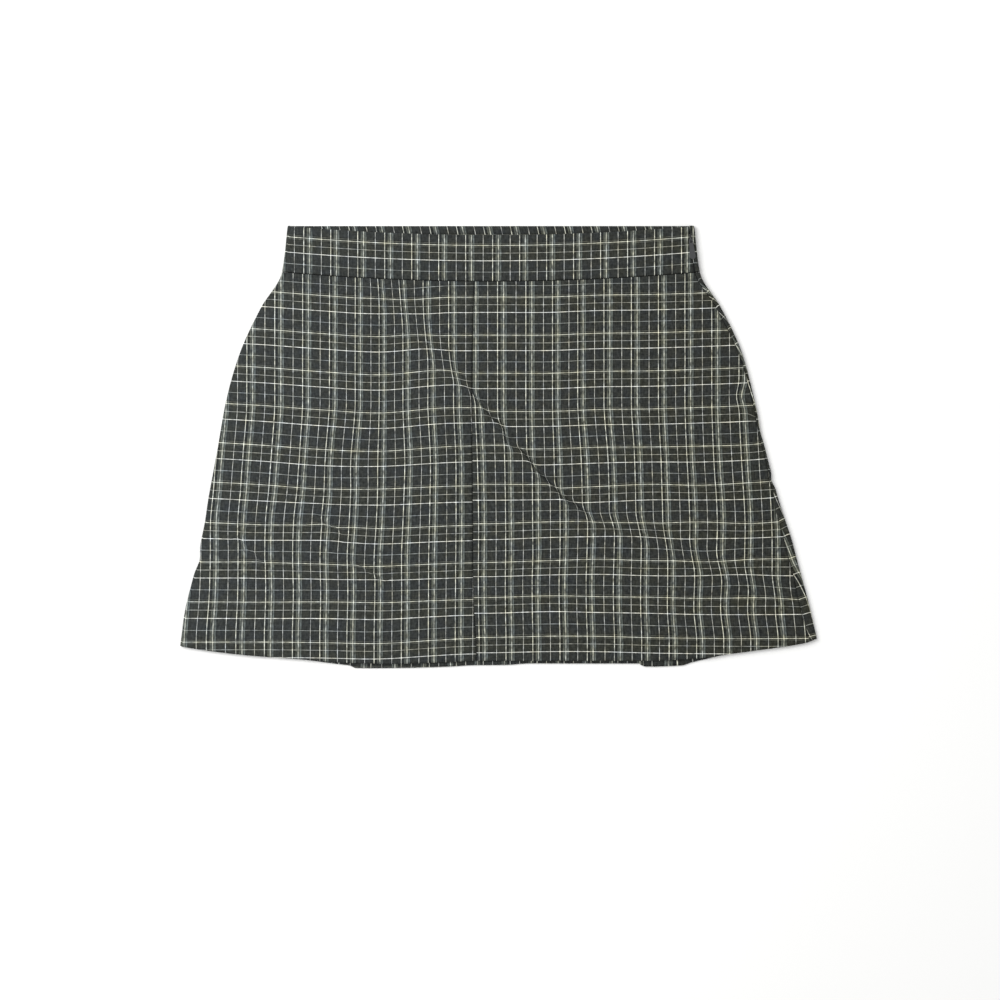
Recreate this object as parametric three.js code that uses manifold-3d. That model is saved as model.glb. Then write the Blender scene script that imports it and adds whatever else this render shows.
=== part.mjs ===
import * as THREE from 'three';
import { mergeVertices } from 'three/addons/utils/BufferGeometryUtils.js';
import Module from 'manifold-3d';

// A short A-line skort of plaid cloth, laid flat on its back with the front up.
// Millimetres. X runs to the right and Y from the hem to the waist, as one looks down on it.
// Z is up, and the lowest layer rests on Z = 0. Left and right are the looker's.
// The skirt is a tube of two front halves and one back. The tube lies a little turned:
// the right side seam has rolled onto the front, and the left one under the garment.

// Layers
const CLOTH = 1.0;
const BAND_CLOTH = 1.5;
const LAYER_GAP = 0.3;
const SEAM_GAP = 0.3;
const SHORTS_BACK_FLOOR = CLOTH + LAYER_GAP;
const SHORTS_FRONT_FLOOR = SHORTS_BACK_FLOOR + CLOTH + LAYER_GAP;
const FRONT_LEVEL = SHORTS_FRONT_FLOOR + CLOTH + LAYER_GAP + CLOTH;

// Lengths, from the middle of the garment's height
const BAND_TOP = 190.4;
const WAIST_SEAM = 150.4;
const FRONT_DIP = 8;

// Sides of the laid tube. left and right are its folded edges, centre is the front's middle
// seam, inset is how far the right side seam lies in from the right edge, and level is the
// height of the upper layer at both edges.
const SIDES = [
  { y: 190.4, left: -181.5, right: 168.5, centre: -20, inset: 4.5, level: 4.9 },
  { y: 150, left: -186.5, right: 173.5, centre: -20.5, inset: 4.5, level: 4.9 },
  { y: 120, left: -204.5, right: 191.5, centre: -21.5, inset: 4.2, level: 3.9 },
  { y: 80, left: -223, right: 210, centre: -22.5, inset: 3.4, level: 3.6 },
  { y: 40, left: -234.5, right: 220.5, centre: -22.8, inset: 2.6, level: 3.6 },
  { y: -5, left: -242.5, right: 230.5, centre: -22.6, inset: 3.8, level: 3.6 },
  { y: -45, left: -250, right: 241, centre: -22.2, inset: 4.6, level: 3.4 },
  { y: -90, left: -258, right: 254.5, centre: -22, inset: 6.4, level: 3.2 },
  { y: -130, left: -266.5, right: 266, centre: -21.4, inset: 8.2, level: 3.1 },
  { y: -172, left: -274, right: 275.8, centre: -19, inset: 8, level: 3 },
];

// Lower edge of the front, from the left corner to the right one
const FRONT_HEM = [
  { x: -274, y: -171.6 },
  { x: -250, y: -175.4 },
  { x: -212, y: -179.7 },
  { x: -171, y: -182.6 },
  { x: -136, y: -185.5 },
  { x: -90, y: -186.6 },
  { x: -44, y: -185.2 },
  { x: -20, y: -184 },
  { x: 126, y: -184 },
  { x: 178, y: -181.5 },
  { x: 197, y: -178.5 },
  { x: 218, y: -175.7 },
  { x: 265, y: -168.5 },
  { x: 274, y: -164.9 },
];

// How far the back hangs out below the front hem
const BACK_DROP = [
  { x: -274, drop: -0.4 },
  { x: -212, drop: -0.3 },
  { x: -171, drop: 0.2 },
  { x: -128, drop: 2.2 },
  { x: -124, drop: 4.2 },
  { x: -85, drop: 3.6 },
  { x: -42, drop: 3.2 },
  { x: 6, drop: 3.1 },
  { x: 27, drop: 1.8 },
  { x: 75, drop: 1.9 },
  { x: 121, drop: 2 },
  { x: 125, drop: 5 },
  { x: 158, drop: 5.2 },
  { x: 165, drop: 3.4 },
  { x: 180, drop: 1 },
  { x: 200, drop: -0.3 },
  { x: 240, drop: -0.4 },
];

// Folds that stand up from the front, each along a bowed line. bow is how far the line
// swings to its left as one walks it, width is across the foot, and fade is the run-out
// at both ends.
const FOLDS = [
  { name: 'sharp crease', from: [-26, 50], to: [92, -62], bow: -6, width: 17, height: 5, fade: 30 },
  { name: 'its soft end', from: [74, -48], to: [205, -140], bow: -1.5, width: 34, height: 2.6, fade: 34 },
  { name: 'second fold', from: [104, 15], to: [208, -71], bow: 8, width: 36, height: 2.2, fade: 40 },
  { name: 'left swell', from: [-150, 95], to: [-142, -120], bow: 0, width: 84, height: 1.6, fade: 60 },
  { name: 'middle swell', from: [-58, 100], to: [-52, -95], bow: 0, width: 58, height: 1.6, fade: 50 },
  { name: 'left waist fold', from: [-112, 140], to: [-128, 52], bow: 4, width: 30, height: 1.8, fade: 24 },
  { name: 'right waist fold', from: [62, 141], to: [88, 48], bow: -5, width: 32, height: 1.8, fade: 26 },
  { name: 'hip drag', from: [186, 62], to: [118, 104], bow: -4, width: 24, height: 1.6, fade: 22 },
];

// Inner shorts. The front over them falls from their height to the edges' between the
// shoulder and the fall, measured out from the shorts, and its folds die away near the edges.
const SHORTS_SIDE_INSET = 24;
const SHORTS_CENTRE = -12;
const CROTCH = -88;
const LEG_HEM = -148;
const LEG_PARTING = 9;
const STACK_SHOULDER = 6;
const STACK_FALL = 23;
const EDGE_CALM = 4;
const EDGE_FREE = 24;

// Concealed zip in the right side seam
const ZIP_END = 14;
const ZIP_HEAD = 178.4;
const TAPE_TOP = 172;
const TAPE_WIDTH = 11;
const TAPE_UNDERLAP = 0.6;
const TAPE_LIFT = 0.6;
const TAPE_LIFT_END = 4;
const LIP_GAP = 1.6;
const LIP_OPEN = 5;
const LIP_CLOSED = 10;
const SLIDER_LENGTH = 10;
const SLIDER_WIDTH = 5;
const SLIDER_PLATE = 1;
const BAIL_WIDTH = 0.9;
const BAIL_WINDOW = 0.8;
const BAIL_BAR = 0.8;
const PULL_THICKNESS = 0.7;
const PULL_LENGTH = 17;
const PULL_NECK = 1.75;
const PULL_FOOT = 2.5;
const PULL_HOLE = 0.75;
const PULL_HOLE_LENGTH = 2.9;

// Cells of the cloth
const ROWS = 30;
const BAND_ROWS = 10;
const FRONT_COLUMNS = 20;
const BEND_COLUMNS = 4;
const UNDER_COLUMNS = 2;
const BAND_COLUMNS = 14;

const plaid = new THREE.MeshStandardMaterial({ color: 0x3b3c3a, roughness: 0.9, metalness: 0 });
const band = new THREE.MeshStandardMaterial({ color: 0x3f403d, roughness: 0.9, metalness: 0 });
const shortsCloth = new THREE.MeshStandardMaterial({ color: 0x2b2c2d, roughness: 0.85, metalness: 0 });
const tapeCloth = new THREE.MeshStandardMaterial({ color: 0x232426, roughness: 0.8, metalness: 0 });
const darkMetal = new THREE.MeshStandardMaterial({ color: 0x3a3b3d, roughness: 0.4, metalness: 0.9 });

const wasm = await Module();
wasm.setup();

const skort = new THREE.Group();

// A smooth line through one column of a table, that never overshoots its rows
function throughRows(rows, key, column) {
  const order = [...rows].sort((a, b) => a[key] - b[key]);
  const steps = order.slice(1).map((row, i) => {
    const width = row[key] - order[i][key];
    return { width, slope: (row[column] - order[i][column]) / width };
  });
  const slopes = order.map((row, i) => {
    if (i === 0) return steps[0].slope;
    if (i === steps.length) return steps[i - 1].slope;
    const before = steps[i - 1].slope;
    const after = steps[i].slope;
    return before * after <= 0 ? 0 : (2 * before * after) / (before + after);
  });
  return (at) => {
    const value = THREE.MathUtils.clamp(at, order[0][key], order[steps.length][key]);
    let i = 0;
    while (i < steps.length - 1 && value > order[i + 1][key]) i += 1;
    const { width } = steps[i];
    const t = (value - order[i][key]) / width;
    const rise = t * t * (3 - 2 * t);
    const lead = t * (1 - t) * (1 - t) * width * slopes[i];
    const trail = t * t * (t - 1) * width * slopes[i + 1];
    return order[i][column] + (order[i + 1][column] - order[i][column]) * rise + lead + trail;
  };
}

const leftEdge = throughRows(SIDES, 'y', 'left');
const rightEdge = throughRows(SIDES, 'y', 'right');
const centreSeam = throughRows(SIDES, 'y', 'centre');
const sideInset = throughRows(SIDES, 'y', 'inset');
const edgeLevel = throughRows(SIDES, 'y', 'level');
const frontHem = throughRows(FRONT_HEM, 'x', 'y');
const backDrop = throughRows(BACK_DROP, 'x', 'drop');

const sideSeam = (y) => rightEdge(y) - sideInset(y);
const backHem = (x) => frontHem(x) - backDrop(x);

// The left seam lies as far under the garment as makes the two front halves alike
const underSeam = (y) => sideSeam(y) + 2 * leftEdge(y) - 2 * centreSeam(y);

function fall(distance, from, to) {
  return 1 - THREE.MathUtils.smoothstep(distance, from, to);
}

// The front dips in the middle below the back, at the band's top and at its seam
function frontDip(x) {
  const middle = (leftEdge(WAIST_SEAM) + rightEdge(WAIST_SEAM)) / 2;
  const half = (rightEdge(WAIST_SEAM) - leftEdge(WAIST_SEAM)) / 2;
  const away = THREE.MathUtils.clamp((x - middle) / half, -1, 1);
  return FRONT_DIP * (1 - away * away);
}

// How high one fold raises the cloth over a point
function foldHeight(fold, x, y) {
  const [fromX, fromY] = fold.from;
  const length = Math.hypot(fold.to[0] - fromX, fold.to[1] - fromY);
  const alongX = (fold.to[0] - fromX) / length;
  const alongY = (fold.to[1] - fromY) / length;
  const walked = (x - fromX) * alongX + (y - fromY) * alongY;
  if (walked <= 0 || walked >= length) return 0;
  const share = walked / length;
  const sideways = (y - fromY) * alongX - (x - fromX) * alongY;
  const away = Math.abs(sideways - fold.bow * 4 * share * (1 - share));
  if (away >= fold.width / 2) return 0;
  const ends = (1 - fall(walked, 0, fold.fade)) * fall(walked, length - fold.fade, length);
  return fold.height * ends * (0.5 + 0.5 * Math.cos((2 * Math.PI * away) / fold.width));
}

// Height of the front's upper face: low at the folded edges, raised where the shorts lie
// inside, and with the folds on top
function frontLevel(x, y) {
  const beyondSide = Math.max(leftEdge(y) + SHORTS_SIDE_INSET - x, x - rightEdge(y) + SHORTS_SIDE_INSET);
  const stack = fall(beyondSide, STACK_SHOULDER, STACK_FALL) * fall(LEG_HEM - y, STACK_SHOULDER, STACK_FALL);
  const inside = Math.min(x - leftEdge(y), sideSeam(y) - x);
  const folds = FOLDS.reduce((sum, fold) => sum + foldHeight(fold, x, y), 0);
  const level = edgeLevel(y) + (FRONT_LEVEL - edgeLevel(y)) * stack;
  return level + folds * (1 - fall(inside, EDGE_CALM, EDGE_FREE));
}

function frontNormal(x, y) {
  const reach = 1.5;
  const slopeX = (frontLevel(x + reach, y) - frontLevel(x - reach, y)) / (2 * reach);
  const slopeY = (frontLevel(x, y + reach) - frontLevel(x, y - reach)) / (2 * reach);
  return new THREE.Vector3(-slopeX, -slopeY, 1).normalize();
}

// A closed wall from a grid of places, each with a point on the outer face and one on the
// inner face
function wallGeometry(rows, columns, place) {
  const positions = [];
  const indices = [];
  const side = (rows + 1) * (columns + 1);
  const places = [];
  for (let row = 0; row <= rows; row += 1) {
    for (let column = 0; column <= columns; column += 1) places.push(place(row, column));
  }
  places.forEach(({ outer }) => positions.push(outer.x, outer.y, outer.z));
  places.forEach(({ inner }) => positions.push(inner.x, inner.y, inner.z));
  const at = (row, column) => row * (columns + 1) + column;
  for (let row = 0; row < rows; row += 1) {
    for (let column = 0; column < columns; column += 1) {
      const [a, b] = [at(row, column), at(row + 1, column)];
      const [c, d] = [b + 1, a + 1];
      indices.push(a, b, c, a, c, d);
      indices.push(a + side, c + side, b + side, a + side, d + side, c + side);
    }
  }
  const rim = (a, b) => indices.push(a, a + side, b + side, a, b + side, b);
  for (let column = 0; column < columns; column += 1) {
    rim(at(0, column + 1), at(0, column));
    rim(at(rows, column), at(rows, column + 1));
  }
  for (let row = 0; row < rows; row += 1) {
    rim(at(row, 0), at(row + 1, 0));
    rim(at(row + 1, columns), at(row, columns));
  }
  const geometry = new THREE.BufferGeometry();
  geometry.setAttribute('position', new THREE.Float32BufferAttribute(positions, 3));
  geometry.setIndex(signedVolume(positions, indices) < 0 ? indices.reverse() : indices);
  return geometry;
}

function signedVolume(positions, indices) {
  const corner = (index) => new THREE.Vector3().fromArray(positions, index * 3);
  let volume = 0;
  for (let i = 0; i < indices.length; i += 3) {
    const [a, b, c] = [corner(indices[i]), corner(indices[i + 1]), corner(indices[i + 2])];
    volume += a.dot(b.cross(c)) / 6;
  }
  return volume;
}

function toSolid(geometry) {
  const bare = new THREE.BufferGeometry();
  bare.setAttribute('position', geometry.attributes.position);
  if (geometry.index) bare.setIndex(geometry.index);
  const merged = mergeVertices(bare, 1e-4);
  const vertProperties = new Float32Array(merged.attributes.position.array);
  const triVerts = new Uint32Array(merged.index.array);
  return new wasm.Manifold(new wasm.Mesh({ numProp: 3, vertProperties, triVerts }));
}

function toGeometry(solid) {
  const mesh = solid.getMesh();
  const geometry = new THREE.BufferGeometry();
  geometry.setAttribute('position', new THREE.Float32BufferAttribute(mesh.vertProperties, 3));
  geometry.setIndex([...mesh.triVerts]);
  return geometry;
}

function addPiece(name, geometry, material, parent = skort) {
  const mesh = new THREE.Mesh(geometry, material);
  mesh.name = name;
  parent.add(mesh);
}

// A place on the flat underside of the tube
function underPlace(x, y, thickness) {
  return { outer: new THREE.Vector3(x, y, 0), inner: new THREE.Vector3(x, y, thickness) };
}

// A place on the bend at an edge of the tube. turn runs from 0 on top to 1 underneath, and
// side is -1 at the left edge and 1 at the right.
function bendPlace(side, y, turn, thickness) {
  const radius = edgeLevel(y) / 2;
  const angle = Math.PI * (0.5 - turn);
  const middle = side < 0 ? leftEdge(y) + radius : rightEdge(y) - radius;
  const ring = (r) => new THREE.Vector3(middle + side * r * Math.cos(angle), y, radius + r * Math.sin(angle));
  return { outer: ring(radius), inner: ring(radius - thickness) };
}

// A place on top. An upright edge keeps the cloth's end square at a seam.
function topPlace(x, y, thickness, upright) {
  const outer = new THREE.Vector3(x, y, frontLevel(x, y));
  const normal = upright ? new THREE.Vector3(0, 0, 1) : frontNormal(x, y);
  return { outer, inner: outer.clone().addScaledVector(normal, -thickness) };
}

// Height along a column that runs from the waist seam to the hem
function downColumn(x, share, onTop) {
  const top = WAIST_SEAM - SEAM_GAP / 2 - (onTop ? frontDip(x) : 0);
  const bottom = onTop ? frontHem(x) : backHem(x);
  return THREE.MathUtils.lerp(top, bottom, share);
}

// Finds the point where a row meets a column, as each one's place depends on the other
function settle(share, onTop, xAt) {
  const guess = THREE.MathUtils.lerp(WAIST_SEAM, frontHem(0), share);
  let x = xAt(guess);
  let y = downColumn(x, share, onTop);
  for (let pass = 0; pass < 4; pass += 1) {
    x = xAt(y);
    y = downColumn(x, share, onTop);
  }
  return { x, y };
}

// The left half of the front, from the middle seam round the left edge to its seam below
function addFrontLeft() {
  const columns = FRONT_COLUMNS + BEND_COLUMNS + UNDER_COLUMNS;
  const place = (row, column) => {
    const share = row / ROWS;
    if (column <= FRONT_COLUMNS) {
      const across = column / FRONT_COLUMNS;
      const start = (y) => centreSeam(y) - SEAM_GAP / 2;
      const end = (y) => leftEdge(y) + edgeLevel(y) / 2;
      const { x, y } = settle(share, true, (at) => THREE.MathUtils.lerp(start(at), end(at), across));
      return topPlace(x, y, CLOTH, column === 0);
    }
    if (column < FRONT_COLUMNS + BEND_COLUMNS) {
      const turn = (column - FRONT_COLUMNS) / BEND_COLUMNS;
      const { y } = settle(share, false, leftEdge);
      return bendPlace(-1, y, turn, CLOTH);
    }
    const across = (column - FRONT_COLUMNS - BEND_COLUMNS) / UNDER_COLUMNS;
    const start = (y) => leftEdge(y) + edgeLevel(y) / 2;
    const end = (y) => underSeam(y) - SEAM_GAP / 2;
    const { x, y } = settle(share, false, (at) => THREE.MathUtils.lerp(start(at), end(at), across));
    return underPlace(x, y, CLOTH);
  };
  addPiece('front_left', wallGeometry(ROWS, columns, place), plaid);
}

// The right half of the front. Its cells run along the sharp crease, close together on it,
// and it is cut to its outline from a wider piece.
function addFrontRight() {
  const [crease] = FOLDS;
  const from = new THREE.Vector2(...crease.from);
  const along = new THREE.Vector2(...crease.to).sub(from);
  const length = along.length();
  along.normalize();
  const across = new THREE.Vector2(-along.y, along.x);
  const half = crease.width / 2;
  const fine = half / 3;
  const coarse = 12;
  const widest = 300;
  const outward = [0, fine, 2 * fine, half, half + 2 * fine];
  while (outward[outward.length - 1] < widest) outward.push(outward[outward.length - 1] + coarse);
  const offsets = [...outward.slice(1).reverse().map((offset) => -offset), ...outward];
  const before = 150;
  const beyond = 200;
  const steps = 36;
  const place = (row, column) => {
    const walked = THREE.MathUtils.lerp(-before, length + beyond, row / steps);
    const share = THREE.MathUtils.clamp(walked / length, 0, 1);
    const offset = offsets[column] + crease.bow * 4 * share * (1 - share);
    const point = from.clone().addScaledVector(along, walked).addScaledVector(across, offset);
    return topPlace(point.x, point.y, CLOTH, false);
  };
  const sheet = toSolid(wallGeometry(steps, offsets.length - 1, place));
  addPiece('front_right', toGeometry(sheet.intersect(outlinePrism(frontRightOutline()))), plaid);
}

function frontRightOutline() {
  const edge = (xAt) => {
    const points = [];
    for (let row = 0; row <= ROWS; row += 1) {
      const { x, y } = settle(row / ROWS, true, xAt);
      points.push(new THREE.Vector2(x, y));
    }
    return points;
  };
  const middle = edge((y) => centreSeam(y) + SEAM_GAP / 2);
  const side = edge((y) => sideSeam(y) - SEAM_GAP / 2);
  const between = (share) => {
    const points = [];
    for (let column = 1; column < FRONT_COLUMNS; column += 1) {
      const x = THREE.MathUtils.lerp(middle[ROWS * share].x, side[ROWS * share].x, column / FRONT_COLUMNS);
      points.push(new THREE.Vector2(x, downColumn(x, share, true)));
    }
    return points;
  };
  return [...middle, ...between(1), ...[...side].reverse(), ...between(0).reverse()];
}

function outlinePrism(points) {
  const height = 60;
  const geometry = new THREE.ExtrudeGeometry(new THREE.Shape(points), { depth: height, bevelEnabled: false });
  geometry.translate(0, 0, -height / 2);
  return toSolid(geometry);
}

// The back, in one piece: from the right side seam on top, round the right edge and along
// the underside to the left seam. Its columns stand where its hem has its points.
function addBack() {
  const hemLeft = underSeam(FRONT_HEM[0].y);
  const hemRight = rightEdge(FRONT_HEM[FRONT_HEM.length - 1].y);
  const narrowest = 8;
  const hemPoints = BACK_DROP.map((row) => row.x).filter((x) => x > hemLeft + narrowest);
  const shares = [...hemPoints.reverse().map((x) => (hemRight - x) / (hemRight - hemLeft)), 1];
  const columns = 1 + BEND_COLUMNS + shares.length;
  const place = (row, column) => {
    const share = row / ROWS;
    if (column === 0) {
      const { x, y } = settle(share, true, (at) => sideSeam(at) + SEAM_GAP / 2);
      return topPlace(x, y, CLOTH, true);
    }
    if (column <= 1 + BEND_COLUMNS) {
      const { y } = settle(share, column === 1, rightEdge);
      return bendPlace(1, y, (column - 1) / BEND_COLUMNS, CLOTH);
    }
    const start = (y) => rightEdge(y) - edgeLevel(y) / 2;
    const end = (y) => underSeam(y) + SEAM_GAP / 2;
    const across = shares[column - 2 - BEND_COLUMNS];
    const { x, y } = settle(share, false, (at) => THREE.MathUtils.lerp(start(at), end(at), across));
    return underPlace(x, y, CLOTH);
  };
  addPiece('back', wallGeometry(ROWS, columns, place), plaid);
}

// Half the gap between the two lips of the seam, which part where the slider stands
function lipGap(y) {
  const open = fall(Math.abs(y - ZIP_HEAD), LIP_OPEN, LIP_CLOSED);
  return THREE.MathUtils.lerp(SEAM_GAP, LIP_GAP, open) / 2;
}

// Height in a waistband, from its seam to its top edge
function upBand(x, share, onTop) {
  const height = THREE.MathUtils.lerp(WAIST_SEAM + SEAM_GAP / 2, BAND_TOP, share);
  return height - (onTop ? frontDip(x) : 0);
}

// The front of the waistband runs round the left edge, as the front halves do
function addWaistbandFront() {
  const columns = BAND_COLUMNS + BEND_COLUMNS + UNDER_COLUMNS;
  const place = (row, column) => {
    const share = row / BAND_ROWS;
    const side = upBand(leftEdge(BAND_TOP), share, false);
    if (column <= BAND_COLUMNS) {
      const start = sideSeam(side) - lipGap(side);
      const end = leftEdge(side) + edgeLevel(side) / 2;
      const x = THREE.MathUtils.lerp(start, end, column / BAND_COLUMNS);
      return topPlace(x, upBand(x, share, true), BAND_CLOTH, true);
    }
    if (column < BAND_COLUMNS + BEND_COLUMNS) {
      return bendPlace(-1, side, (column - BAND_COLUMNS) / BEND_COLUMNS, BAND_CLOTH);
    }
    const start = leftEdge(side) + edgeLevel(side) / 2;
    const end = underSeam(side) - SEAM_GAP / 2;
    const across = (column - BAND_COLUMNS - BEND_COLUMNS) / UNDER_COLUMNS;
    return underPlace(THREE.MathUtils.lerp(start, end, across), side, BAND_CLOTH);
  };
  addPiece('waistband_front', wallGeometry(BAND_ROWS, columns, place), band);
}

// The back of the waistband runs round the right edge, as the back does
function addWaistbandBack() {
  const columns = 1 + BEND_COLUMNS + BAND_COLUMNS;
  const place = (row, column) => {
    const side = upBand(rightEdge(BAND_TOP), row / BAND_ROWS, false);
    if (column === 0) return topPlace(sideSeam(side) + lipGap(side), side, BAND_CLOTH, true);
    if (column <= 1 + BEND_COLUMNS) return bendPlace(1, side, (column - 1) / BEND_COLUMNS, BAND_CLOTH);
    const start = rightEdge(side) - edgeLevel(side) / 2;
    const end = underSeam(side) + SEAM_GAP / 2;
    const across = (column - 1 - BEND_COLUMNS) / BAND_COLUMNS;
    return underPlace(THREE.MathUtils.lerp(start, end, across), side, BAND_CLOTH);
  };
  addPiece('waistband_back', wallGeometry(BAND_ROWS, columns, place), band);
}

// One quarter of the inner shorts, a flat panel from the waist seam to the leg hem
function addShortsPanel(name, side, floor, onTop) {
  const rise = 8;
  const leg = 3;
  const columns = 8;
  const centre = (y) => {
    const below = THREE.MathUtils.clamp((CROTCH - y) / (CROTCH - LEG_HEM), 0, 1);
    return SHORTS_CENTRE + side * (SEAM_GAP / 2 + LEG_PARTING * below);
  };
  const outer = (y) => (side < 0 ? leftEdge(y) + SHORTS_SIDE_INSET : rightEdge(y) - SHORTS_SIDE_INSET);
  const place = (row, column) => {
    const top = WAIST_SEAM - SEAM_GAP / 2;
    const level = row <= rise
      ? THREE.MathUtils.lerp(top, CROTCH, row / rise)
      : THREE.MathUtils.lerp(CROTCH, LEG_HEM, (row - rise) / leg);
    const x = THREE.MathUtils.lerp(centre(level), outer(level), column / columns);
    const dip = onTop ? frontDip(x) * THREE.MathUtils.clamp((level - CROTCH) / (top - CROTCH), 0, 1) : 0;
    const y = level - dip;
    return { outer: new THREE.Vector3(x, y, floor + CLOTH), inner: new THREE.Vector3(x, y, floor) };
  };
  addPiece(name, wallGeometry(rise + leg, columns, place), shortsCloth);
}

// The zip's tape, a flat strip inside the tube along the side seam
function addZipTape() {
  const rows = 20;
  const place = (row, column) => {
    const y = THREE.MathUtils.lerp(ZIP_END, TAPE_TOP, row / rows);
    const x = sideSeam(y) + TAPE_UNDERLAP - column * TAPE_WIDTH;
    const rise = 1 - fall(y, WAIST_SEAM - 3 * TAPE_LIFT_END, WAIST_SEAM - TAPE_LIFT_END);
    const floor = CLOTH + LAYER_GAP + TAPE_LIFT * rise;
    return { outer: new THREE.Vector3(x, y, floor + CLOTH), inner: new THREE.Vector3(x, y, floor) };
  };
  addPiece('zip_tape', wallGeometry(rows, 1, place), tapeCloth);
}

// The slider: a plate inside the seam, and a bail that stands up between the lips. The
// bail's window holds the end bar of the pull.
function addZipSlider(parent, axisHeight) {
  const plateFloor = CLOTH + LAYER_GAP + TAPE_LIFT;
  const plate = new THREE.BoxGeometry(SLIDER_WIDTH, SLIDER_LENGTH, SLIDER_PLATE);
  plate.translate(0, 0, plateFloor + SLIDER_PLATE / 2);
  const reach = BAIL_WINDOW + BAIL_BAR;
  const profile = new THREE.Shape();
  const foot = plateFloor + SLIDER_PLATE / 2;
  profile.moveTo(-reach, foot);
  profile.lineTo(reach, foot);
  profile.lineTo(reach, axisHeight + BAIL_WINDOW);
  profile.lineTo(BAIL_WINDOW, axisHeight + reach);
  profile.lineTo(-BAIL_WINDOW, axisHeight + reach);
  profile.lineTo(-reach, axisHeight + BAIL_WINDOW);
  const window = new THREE.Path();
  window.moveTo(-BAIL_WINDOW, axisHeight - BAIL_WINDOW);
  window.lineTo(-BAIL_WINDOW, axisHeight + BAIL_WINDOW);
  window.lineTo(BAIL_WINDOW, axisHeight + BAIL_WINDOW);
  window.lineTo(BAIL_WINDOW, axisHeight - BAIL_WINDOW);
  profile.holes.push(window);
  const bail = new THREE.ExtrudeGeometry(profile, { depth: BAIL_WIDTH, bevelEnabled: false });
  bail.translate(0, 0, -BAIL_WIDTH / 2);
  bail.rotateX(Math.PI / 2);
  bail.rotateZ(Math.PI / 2);
  addPiece('zip_slider', toGeometry(toSolid(plate).add(toSolid(bail))), darkMetal, parent);
}

// The pull: a flat drop of metal that lies on the cloth and turns about its own end bar
function addZipPull(parent, axisHeight) {
  const bar = PULL_THICKNESS / 2;
  const outline = new THREE.Shape();
  outline.moveTo(-PULL_NECK, bar);
  outline.lineTo(-PULL_NECK, -PULL_HOLE_LENGTH - 1);
  outline.lineTo(-PULL_FOOT, -PULL_LENGTH + PULL_FOOT);
  outline.absarc(0, -PULL_LENGTH + PULL_FOOT, PULL_FOOT, Math.PI, 2 * Math.PI, false);
  outline.lineTo(PULL_NECK, -PULL_HOLE_LENGTH - 1);
  outline.lineTo(PULL_NECK, bar);
  const hole = new THREE.Path();
  hole.moveTo(-PULL_HOLE, -bar);
  hole.lineTo(PULL_HOLE, -bar);
  hole.lineTo(PULL_HOLE, -PULL_HOLE_LENGTH);
  hole.lineTo(-PULL_HOLE, -PULL_HOLE_LENGTH);
  outline.holes.push(hole);
  const depth = PULL_THICKNESS;
  const plate = new THREE.ExtrudeGeometry(outline, { depth, bevelEnabled: false, curveSegments: 8 });
  plate.translate(0, 0, axisHeight - bar);
  addPiece('zip_pull', toGeometry(toSolid(plate)), darkMetal, parent);
}

// The slider and its pull stand on the side seam and point along it
function addZipHead() {
  const head = new THREE.Group();
  head.position.set(sideSeam(ZIP_HEAD), ZIP_HEAD, 0);
  head.rotation.z = Math.atan2(sideSeam(WAIST_SEAM) - sideSeam(BAND_TOP), BAND_TOP - WAIST_SEAM);
  const axisHeight = edgeLevel(ZIP_HEAD) + LAYER_GAP + PULL_THICKNESS / 2;
  addZipSlider(head, axisHeight);
  addZipPull(head, axisHeight);
  skort.add(head);
}

addFrontLeft();
addFrontRight();
addBack();
addWaistbandFront();
addWaistbandBack();
addShortsPanel('shorts_front_left', -1, SHORTS_FRONT_FLOOR, true);
addShortsPanel('shorts_front_right', 1, SHORTS_FRONT_FLOOR, true);
addShortsPanel('shorts_back_left', -1, SHORTS_BACK_FLOOR, false);
addShortsPanel('shorts_back_right', 1, SHORTS_BACK_FLOOR, false);
addZipTape();
addZipHead();

export default skort;
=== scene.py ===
import math

import bpy
import numpy as np
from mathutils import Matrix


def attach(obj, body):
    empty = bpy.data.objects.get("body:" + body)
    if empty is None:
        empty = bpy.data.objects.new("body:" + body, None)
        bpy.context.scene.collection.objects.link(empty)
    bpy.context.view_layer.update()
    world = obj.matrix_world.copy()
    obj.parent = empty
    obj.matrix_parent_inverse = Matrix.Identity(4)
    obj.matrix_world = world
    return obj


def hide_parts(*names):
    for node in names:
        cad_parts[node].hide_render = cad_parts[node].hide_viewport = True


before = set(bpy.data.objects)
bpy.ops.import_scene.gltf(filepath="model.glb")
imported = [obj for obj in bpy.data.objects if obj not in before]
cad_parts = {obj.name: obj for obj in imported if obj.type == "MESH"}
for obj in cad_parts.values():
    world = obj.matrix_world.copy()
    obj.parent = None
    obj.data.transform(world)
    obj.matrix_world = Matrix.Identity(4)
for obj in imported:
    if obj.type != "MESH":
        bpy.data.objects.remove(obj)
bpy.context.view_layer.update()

# Studio
# A pale seamless table, lit by a bright room and one large soft lamp at the upper left.
# The camera looks straight down, as the photo does. One pixel of it is 0.86 mm of cloth.
# The table, the lamp, the cloth's height and the camera's reach are in metres, and all other
# sizes in millimetres.
PIXEL = 0.86
FRAME_PIXELS = 1000
VIEW_X = 1.3
VIEW_Y = -45.6
LENS = 100.0
SENSOR = 36.0
CLOTH_HEIGHT = 0.0045
TABLE_DROP = 0.0003
TABLE_HALF = 4.0
ROOM_LIGHT = 0.76
LAMP_WATTS = 26.0
LAMP_SIZE = 1.3
LAMP_PLACE = (-1.1, 0.6, 1.35)
CLIP_END = 20.0
MM = 0.001


def linear(code, alpha=1.0):
    """The linear colour of an sRGB hex code."""
    parts = [int(code[i:i + 2], 16) / 255 for i in (1, 3, 5)]
    return [p / 12.92 if p <= 0.04045 else ((p + 0.055) / 1.055) ** 2.4 for p in parts] + [alpha]


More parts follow.
